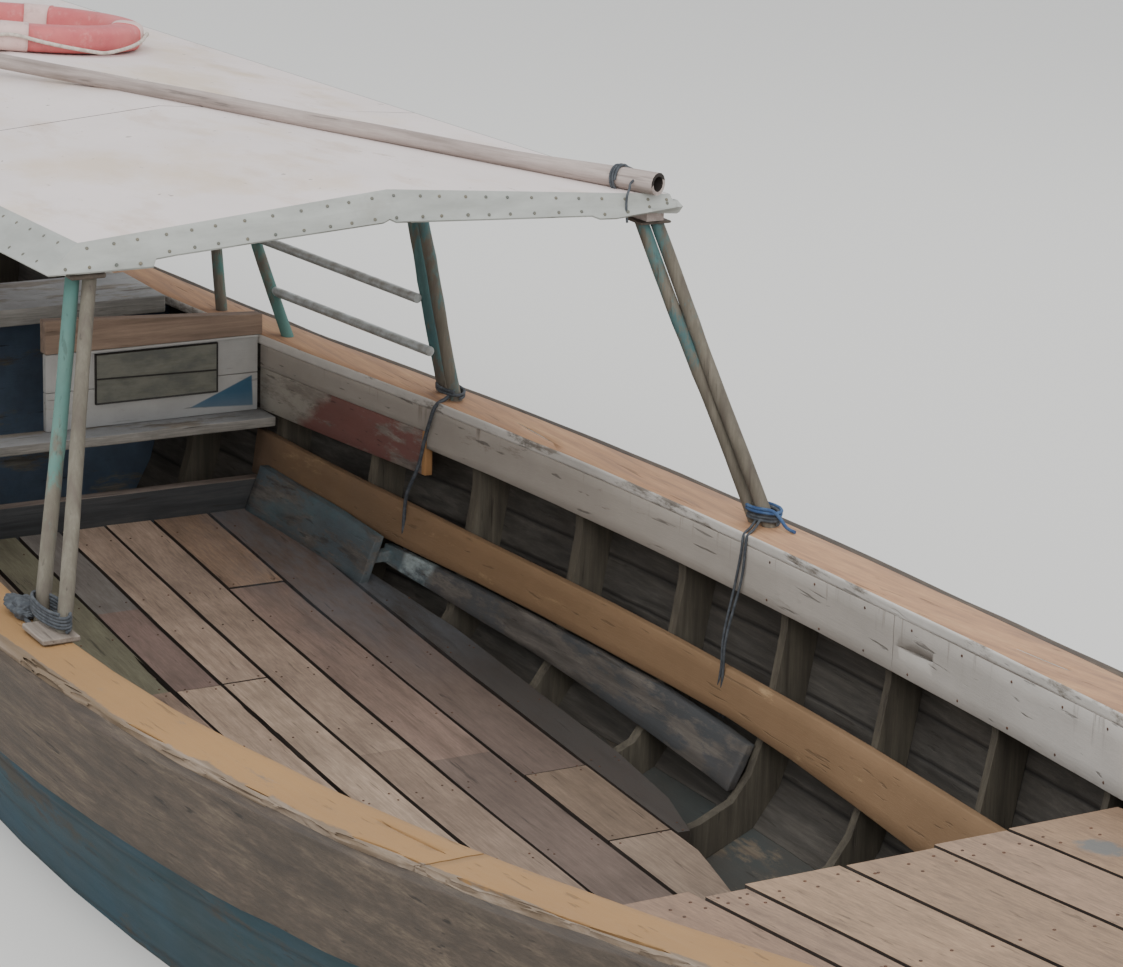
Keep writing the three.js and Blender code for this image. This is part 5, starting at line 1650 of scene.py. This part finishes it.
for nodeName, (pieceName, body, edge, look) in eased.items():
    obj = copyNode(nodeName, pieceName)
    bevelEdges(obj, edge, 2, 40)
    smoothByAngle(obj, 40)
    finishPiece(obj, slotOf[nodeName], materials[look], [nodeName], body)
print("plan shapes eased")


# engine details are built level, forwards from the tilt axis, then sloped with the crankshaft
drive = {"pivot": (-4.56, 0, 0.76), "slope": -20, "shaft": 0.06, "nose": 0.3303, "back": -0.1103}
crankLine = Matrix.Translation(drive["pivot"]) @ Matrix.Rotation(math.radians(drive["slope"]), 4, "Y")


def mountPiece(pieces, name, slotName, look, edge=0.0015, replaced=(), body="motor"):
    obj = joinPieces(pieces, name)
    if edge:
        bevelEdges(obj, edge, 2, 40)
    obj.data.transform(crankLine)
    smoothByAngle(obj, 40)
    finishPiece(obj, slotName, materials[look], replaced, body)


def addBolts(places, radius, high):
    heads = []
    for place, out in places:
        place, out = Vector(place), Vector(out).normalized()
        heads.append(addRod(place - out * 0.001, place + out * high * 0.3, radius * 1.5, 16))
        heads.append(addRod(place + out * high * 0.25, place + out * high, radius, 6))
    return heads


def rowOf(start, stop, count):
    return [start + (stop - start) * i / (count - 1) for i in range(count)]


cylinders = (-0.06, 0.048, 0.156, 0.264)
shaftUp = drive["shaft"]
boltSpec = {"head": (0.006, 0.009), "cover": (0.0045, 0.007), "flange": (0.005, 0.008)}
headBolts = [((u, y, 0.25), (0, 0, 1)) for u in rowOf(-0.085, 0.305, 6) for y in (-0.079, 0.079)]
sumpBolts = [((u, y, 0.022), (0, 0, 1)) for u in rowOf(0.05, 0.28, 5) for y in (-0.086, 0.086)]
mountPiece(addBolts(headBolts, *boltSpec["head"]), "head_bolts", "steel", "tubeSteel", 0.0008)
coverBolts = [((u, y, 0.296), (0, 0, 1)) for u in rowOf(-0.075, 0.295, 5) for y in (-0.0455, 0.0455)]
mountPiece(addBolts(coverBolts, *boltSpec["cover"]), "cover_bolts", "steel", "galvanised", 0.0008)
tubeBolts = []
for step in range(6):
    a = math.radians(step * 60 + 30)
    tubeBolts.append(((-0.3123, 0.043 * math.cos(a), shaftUp + 0.043 * math.sin(a)), (-1, 0, 0)))
mountPiece(addBolts(tubeBolts, *boltSpec["flange"]), "tube_flange_bolts", "steel", "galvanised", 0.0008)

# ribs on the block, core plugs, sump flange, oil filter, starter and plugs
flange = addBox((0.032, -0.091, 0.012), (0.298, 0.091, 0.0225))
ribsOfBlock = [addBox((u - 0.004, 0.0775, 0.125), (u + 0.004, 0.083, 0.204))
               for u in rowOf(-0.09, 0.31, 9)]
plugs = [addRod((u, 0.077, 0.165), (u, 0.0815, 0.165), 0.015, 24) for u in (-0.065, 0.01, 0.085)]
mountPiece([flange] + ribsOfBlock, "block_ribs", "engine_red", "engineRed", 0.0012)
mountPiece(plugs + addBolts(sumpBolts, *boltSpec["flange"]), "core_plugs", "steel", "galvanised", 0.001)
starter = [addRod((-0.1, -0.116, 0.08), (0.05, -0.116, 0.08), 0.026, 28),
           addRod((-0.108, -0.116, 0.08), (-0.098, -0.116, 0.08), 0.029, 28),
           addRod((0.045, -0.116, 0.08), (0.066, -0.116, 0.08), 0.021, 28, 0.017),
           addRod((-0.08, -0.104, 0.118), (0.01, -0.104, 0.118), 0.015, 20)]
mountPiece(starter, "starter_motor", "dark_steel", "darkSteel", 0.002)
filterCan = [addRod((0.25, -0.09, 0.075), (0.25, -0.16, 0.068), 0.033, 32),
             addRod((0.25, -0.158, 0.068), (0.25, -0.166, 0.067), 0.026, 12)]
mountPiece(filterCan, "oil_filter", "alloy", "tankPlastic", 0.004)
sparkPlugs = []
for u in cylinders:
    sparkPlugs += [addRod((u, -0.084, 0.172), (u, -0.094, 0.174), 0.0105, 6),
                   addRod((u, -0.092, 0.1735), (u, -0.108, 0.177), 0.0065, 16),
                   addRod((u, -0.105, 0.176), (u, -0.118, 0.18), 0.0095, 16, 0.007)]
mountPiece(sparkPlugs, "spark_plugs", "dark_steel", "rubber", 0.001)
dipstick = addRope([(0.21, -0.088, 0.05), (0.21, -0.104, 0.09), (0.215, -0.11, 0.17),
                    (0.22, -0.114, 0.25), (0.222, -0.118, 0.268), (0.222, -0.128, 0.262)], 0.0028)
fuelPipe = addRope([(0.05, -0.06, 0.345), (0.05, -0.075, 0.325), (0.085, -0.09, 0.3),
                    (0.13, -0.1, 0.24), (0.135, -0.1, 0.2), (0.11, -0.088, 0.15)], 0.0035)
mountPiece([dipstick, fuelPipe], "thin_pipes", "brass", "brass", 0)
print("engine details done")


# fan, pulleys and belt on the nose
pulleys = {
    "crank": ((0, 0.012, 0.062), (0.011, 0.037, 0.053), (0.036, 0.046, 0.062), (0.045, 0.07, 0.026)),
    "fan": ((0, 0.014, 0.046), (0.013, 0.037, 0.037), (0.036, 0.05, 0.046), (0.049, 0.066, 0.03)),
    "fanUp": 0.19, "belt": 0.0075, "beltAt": 0.0245, "blades": 4, "twist": 0.45,
    "blade": ((0.049, -0.024, 0.024), (0.0565, 0.024, 0.128)),
}
nose = drive["nose"]
wheels = []
for rings, up in ((pulleys["crank"], shaftUp), (pulleys["fan"], pulleys["fanUp"])):
    wheels += [addRod((nose + a, 0, up), (nose + b, 0, up), radius, 32) for a, b, radius in rings]
mountPiece(wheels, "pulleys", "dark_steel", "darkSteel", 0.0018, ["fan_and_pulleys"])
loop = []
for up, radius, turnFrom in ((shaftUp, 0.058, 180), (pulleys["fanUp"], 0.042, 0)):
    for step in range(9):
        a = math.radians(turnFrom + step * 22.5)
        loop.append(Vector((nose + pulleys["beltAt"], radius * math.cos(a), up + radius * math.sin(a))))
mountPiece([addRope(loop, pulleys["belt"], True)], "fan_belt", "dark_steel", "rubber", 0)
blades = []
for k in range(pulleys["blades"]):
    quarter = Matrix.Rotation(k * math.pi / 2, 4, "X")
    blade = addBox(*pulleys["blade"])
    for vertex in blade.data.vertices:
        vertex.co.x += vertex.co.y * pulleys["twist"]
        if vertex.co.z > 0.1:
            vertex.co.y *= 1.25
    blade.data.transform(Matrix.Translation((nose, 0, pulleys["fanUp"])) @ quarter)
    blades.append(blade)
mountPiece(blades, "fan_blades", "alloy", "alloy", 0.0018)

# pleated air filter between two pans
airFilter = {"at": (0.04, -0.172), "radius": 0.075, "pleat": 0.94, "pleats": 44}
x, y = airFilter["at"]
pleated = addRod((x, y, 0.2), (x, y, 0.312), airFilter["radius"], airFilter["pleats"] * 2)
for vertex in pleated.data.vertices:
    step = round(math.atan2(vertex.co.y - y, vertex.co.x - x) / math.pi * airFilter["pleats"])
    if step % 2:
        vertex.co.x = x + (vertex.co.x - x) * airFilter["pleat"]
        vertex.co.y = y + (vertex.co.y - y) * airFilter["pleat"]
mountPiece([pleated], "filter_pleats", "dark_steel", "blockWood", 0)
pans = [addRod((x, y, low), (x, y, low + 0.013), 0.079, 48) for low in (0.193, 0.305)]
pans += [addRod((x, y, 0.316), (x, y, 0.325), 0.034, 28, 0.026),
         addRod((x, y, 0.322), (x, y, 0.332), 0.005, 12),
         addBox((x - 0.016, y - 0.003, 0.325), (x + 0.016, y + 0.003, 0.332)),
         addBox((x - 0.016, -0.15, 0.212), (x + 0.02, -0.0885, 0.246))]
mountPiece(pans, "filter_pans", "dark_steel", "darkSteel", 0.002, ["air_filter"])

# exhaust: four stubs, a log, a bent pipe, a silencer with bands and an open tail
rust = plain("#5b4033 #3d3634", 0.8, metal=0.3, scale=16, bump=0.4)
materials["rustSteel"] = plainMaterial("rustSteel", rust)
stubs = [addRod((u, 0.0883, 0.226), (u, 0.12, 0.226), 0.016, 20) for u in cylinders]
stubs += [addBox((u - 0.024, 0.0883, 0.207), (u + 0.024, 0.095, 0.245)) for u in cylinders]
log = addRod((-0.078, 0.118, 0.226), (0.282, 0.118, 0.226), 0.022, 28)
bent = addRope([(-0.05, 0.118, 0.226), (-0.09, 0.12, 0.232), (-0.15, 0.132, 0.259),
                (-0.21, 0.142, 0.281), (-0.26, 0.15, 0.3)], 0.023, sides=10)
silencerFrom, silencerTo = Vector((-0.24, 0.147, 0.293)), Vector((-0.56, 0.196, 0.402))
silencer = []
for start, stop, radius, radiusTo in ((0.06, 0.94, 0.0405, 0.0405), (0, 0.07, 0.024, 0.0405),
                                      (0.93, 1, 0.0405, 0.02), (0.2, 0.235, 0.042, 0.042),
                                      (0.75, 0.785, 0.042, 0.042)):
    silencer.append(addRod(silencerFrom.lerp(silencerTo, start), silencerFrom.lerp(silencerTo, stop),
                           radius, 36, radiusTo))
tail = addRod((-0.545, 0.194, 0.397), (-0.64, 0.208, 0.43), 0.0195, 28)
selectFaces(tail, lambda face: face.center.x < -0.63)
bpy.ops.mesh.inset(thickness=0.004)
bpy.ops.transform.translate(value=(0.03, -0.0045, -0.0105))
stopEdit()
mountPiece(stubs + [log, bent] + silencer + [tail], "exhaust_pipes", "dark_steel", "rustSteel", 0.0015,
           ["exhaust"])

# fuel tank with a ribbed cap and a strap
tank = addBox((-0.1, -0.072, 0.342), (0.06, 0.072, 0.482))
bevelEdges(tank, 0.016, 4, 40)
selectFaces(tank, lambda face: abs(face.normal.y) > 0.95 and face.area > 0.005)
bpy.ops.mesh.inset(thickness=0.016, use_individual=True)
bpy.ops.mesh.inset(thickness=0.003, depth=-0.004, use_individual=True)
stopEdit()
mountPiece([tank], "jerry_tank", "tank_plastic", "tankPlastic", 0, ["fuel_tank"])
cap = addRod((-0.02, 0, 0.48), (-0.02, 0, 0.5), 0.024, 40)
for vertex in cap.data.vertices:
    if round(math.atan2(vertex.co.y, vertex.co.x + 0.02) / math.pi * 20) % 2:
        vertex.co.x, vertex.co.y = -0.02 + (vertex.co.x + 0.02) * 0.93, vertex.co.y * 0.93
legs = [addBox((u - 0.008, v - 0.008, 0.2505), (u + 0.008, v + 0.008, 0.344))
        for u in (-0.084, 0.044) for v in (-0.062, 0.062)]
strap = addBox((-0.066, -0.0735, 0.34), (-0.046, 0.0735, 0.4835))
mountPiece([cap] + legs + [strap], "tank_fittings", "dark_steel", "darkSteel", 0.0015)

# ribs on the bell casting, clamps on the long tube
ribsOfBell = []
for step in range(10):
    a = math.radians(step * 36)
    out = Vector((0, math.cos(a), math.sin(a)))
    start = Vector((drive["back"] - 0.03, 0, shaftUp + 0.024)) + out * 0.084
    ribsOfBell.append(addRod(start, Vector((drive["back"] - 0.148, 0, shaftUp)) + out * 0.05, 0.005, 10))
mountPiece(ribsOfBell, "bell_ribs", "cast_metal", "castMetal", 0)
clamps = []
for u in (-0.59, -1.0, -1.42, -2.42):
    clamps.append(addRod((u, 0, shaftUp), (u - 0.022, 0, shaftUp), 0.0325, 32))
    clamps.append(addBox((u - 0.018, -0.006, shaftUp + 0.028), (u - 0.004, 0.006, shaftUp + 0.045)))
mountPiece(clamps, "tube_clamps", "steel", "galvanised", 0.001)

# tiller: a bent tube with a ribbed grip and a throttle lever
tillerPath = ((0.3, 0.14, 0), (0.33, 0.14, 0.007), (0.44, 0.14, 0.033), (0.47, 0.139, 0.04),
              (0.5, 0.13, 0.043), (0.66, 0.074, 0.057), (0.7, 0.06, 0.059), (0.74, 0.054, 0.044),
              (0.86, 0.039, -0.004), (0.94, 0.028, -0.036), (0.998, 0.021, -0.059))
mountPiece([addRope(tillerPath, 0.0145, sides=12), addBox((0.24, 0.1225, -0.016), (0.316, 0.154, 0.016))]
           + addBolts([((0.258, 0.154, 0), (0, 1, 0)), ((0.292, 0.154, 0), (0, 1, 0))], 0.006, 0.008),
           "tiller_bar", "tiller_steel", "galvanised", 0.001, ["tiller"])
gripFrom, gripTo = Vector((0.88, 0.036, -0.012)), Vector((1.0, 0.0205, -0.0605))
rings = []
for step in range(10):
    a, b = gripFrom.lerp(gripTo, step / 10), gripFrom.lerp(gripTo, (step + 1) / 10)
    rings.append(addRod(a, a.lerp(b, 0.6), 0.0188, 24))
    rings.append(addRod(a.lerp(b, 0.55), b, 0.0172, 24))
mountPiece(rings, "tiller_grip", "dark_steel", "rubber", 0.0012)
lever = [addRod((0.855, 0.028, 0.02), (0.845, -0.02, 0.03), 0.004, 12),
         addRod((0.86, 0.041, -0.02), (0.852, 0.036, 0.024), 0.007, 12),
         addRod((0.846, -0.016, 0.029), (0.844, -0.03, 0.032), 0.008, 16)]
mountPiece(lever, "throttle_lever", "steel", "galvanised", 0.001)

# propeller: twisted blades on a rounded hub with its nut
screw = {"blades": 3, "at": -2.83, "from": 0.016, "to": 0.1265, "thick": 0.0045,
         "chord": ((0, 0.024), (0.3, 0.038), (0.65, 0.043), (0.85, 0.035), (1, 0.012)),
         "twist": ((0, 62), (0.35, 40), (0.7, 28), (1, 22))}


vanes = []
for k in range(screw["blades"]):
    deselectAll()
    bpy.ops.mesh.primitive_grid_add(x_subdivisions=8, y_subdivisions=14, size=2)
    vane = bpy.context.object
    for vertex in vane.data.vertices:
        c, share = vertex.co.x, (vertex.co.y + 1) / 2
        chord, twist = valueAt(screw["chord"], share), math.radians(valueAt(screw["twist"], share))
        reach = screw["from"] + (screw["to"] - screw["from"]) * (share - 0.04 * c * c * share)
        vertex.co = (c * chord * math.sin(twist), c * chord * math.cos(twist), reach)
    solid = vane.modifiers.new("thick", "SOLIDIFY")
    solid.thickness = screw["thick"]
    solid.offset = 0
    applyModifiers(vane)
    bevelEdges(vane, 0.0015, 2, 60)
    vane.data.transform(Matrix.Translation((screw["at"], 0, shaftUp))
                        @ Matrix.Rotation(k * 2 * math.pi / screw["blades"], 4, "X"))
    vanes.append(vane)
hub = screw["at"] + 0.034
hubPieces = [addRod((hub + start, 0, shaftUp), (hub + stop, 0, shaftUp), radius, sides, radiusTo)
             for start, stop, radius, sides, radiusTo in (
                 (0.062, -0.01, 0.0125, 24, None), (0, -0.072, 0.027, 36, 0.023),
                 (-0.07, -0.084, 0.017, 6, None), (-0.082, -0.1, 0.008, 20, None))]
mountPiece(vanes + hubPieces, "screw", "brass", "brass", 0, ["propeller"], "propeller")

# washers and nuts on the trunnions
nuts = []
for sign in (-1, 1):
    nuts.append(addRod((0, sign * 0.1528, 0), (0, sign * 0.156, 0), 0.023, 28))
    nuts.append(addRod((0, sign * 0.1555, 0), (0, sign * 0.1638, 0), 0.019, 6))
mountPiece(nuts, "trunnion_nuts", "steel", "galvanised", 0.0012)
print("drive details done")


# the bottom planking is the one node that keeps its own mesh
bottom = nodes["hull_bottom"].data
bottom.materials.clear()
bottom.materials.append(materials["bottomWood"])
print("materials ready:", len(materials))


# floor at the waterline, with a hole where the hull floats
water = {"aft": -4.688, "transom": -4.649, "ahead": 3.86, "steps": 60, "under": 0.006, "radius": 60}


def waterlineHalf(x):
    widest = 0.0
    for name in ("hull_side_port", "hull_bottom"):
        mesh = nodes[name].data
        for polygon in mesh.polygons:
            points = [mesh.vertices[i].co for i in polygon.vertices]
            cut = []
            for a, b in zip(points, points[1:] + points[:1]):
                if (a.z < 0) != (b.z < 0):
                    cut.append(a.lerp(b, a.z / (a.z - b.z)))
            if len(cut) == 2 and min(cut[0].x, cut[1].x) <= x <= max(cut[0].x, cut[1].x):
                span = cut[1].x - cut[0].x
                share = (x - cut[0].x) / span if abs(span) > 1e-6 else 0
                widest = max(widest, cut[0].lerp(cut[1], share).y)
    return widest


def addFloor():
    xs = rowOf(water["aft"], water["ahead"], water["steps"] + 1)
    halves = [waterlineHalf(max(x, water["transom"])) for x in xs]
    tip = next(i for i in range(water["steps"], 0, -1) if halves[i] > 0.01)
    port = [(x, half - water["under"], 0) for x, half in zip(xs[:tip + 1], halves)]
    loop = port + [(x, -y, z) for x, y, z in reversed(port)]
    mesh = bpy.data.meshes.new("water_floor")
    mesh.from_pydata(loop, [(i, (i + 1) % len(loop)) for i in range(len(loop))], [])
    hole = addObject("water_floor", mesh)
    deselectAll()
    bpy.ops.mesh.primitive_circle_add(vertices=len(loop), radius=water["radius"])
    rim = bpy.context.object
    floor = joinPieces([hole, rim], "water_floor")
    startEdit(floor)
    bpy.ops.mesh.bridge_edge_loops()
    bpy.ops.mesh.normals_make_consistent(inside=False)
    stopEdit()
    desk = NodeDesk("floorPaper")
    floor.data.materials.append(desk.finish(linear("#dddbd6"), 0.9))


addFloor()


# soft studio light
studio = {
    "sky": (0.93, 0.96, 1.0, 1), "skyPower": 1.0,
    "lamps": [
        {"place": (3.5, -4.0, 8.0), "aim": (0, 0, 0.3), "size": 8.0, "power": 420},
        {"place": (-2.0, 6.0, 7.0), "aim": (0, 0, 0.3), "size": 7.0, "power": 180},
    ],
    "fill": {"place": (8.0, -2.6, 3.6), "angle": 50, "power": 1.25},
}


def addLights():
    world = bpy.data.worlds.new("studio")
    bpy.context.scene.world = world
    world.use_nodes = True
    background = world.node_tree.nodes["Background"]
    background.inputs["Color"].default_value = studio["sky"]
    background.inputs["Strength"].default_value = studio["skyPower"]
    for i, lamp in enumerate(studio["lamps"]):
        data = bpy.data.lights.new(f"softbox{i}", "AREA")
        data.shape = "SQUARE"
        data.size = lamp["size"]
        data.energy = lamp["power"]
        obj = addObject(f"softbox{i}", data)
        obj.location = lamp["place"]
        aim = Vector(lamp["aim"]) - Vector(lamp["place"])
        obj.rotation_euler = aim.to_track_quat("-Z", "Y").to_euler()
    data = bpy.data.lights.new("fill", "SUN")
    data.angle = math.radians(studio["fill"]["angle"])
    data.energy = studio["fill"]["power"]
    obj = addObject("fill", data)
    obj.rotation_euler = (-Vector(studio["fill"]["place"])).to_track_quat("-Z", "Y").to_euler()


addLights()
print("stage ready")
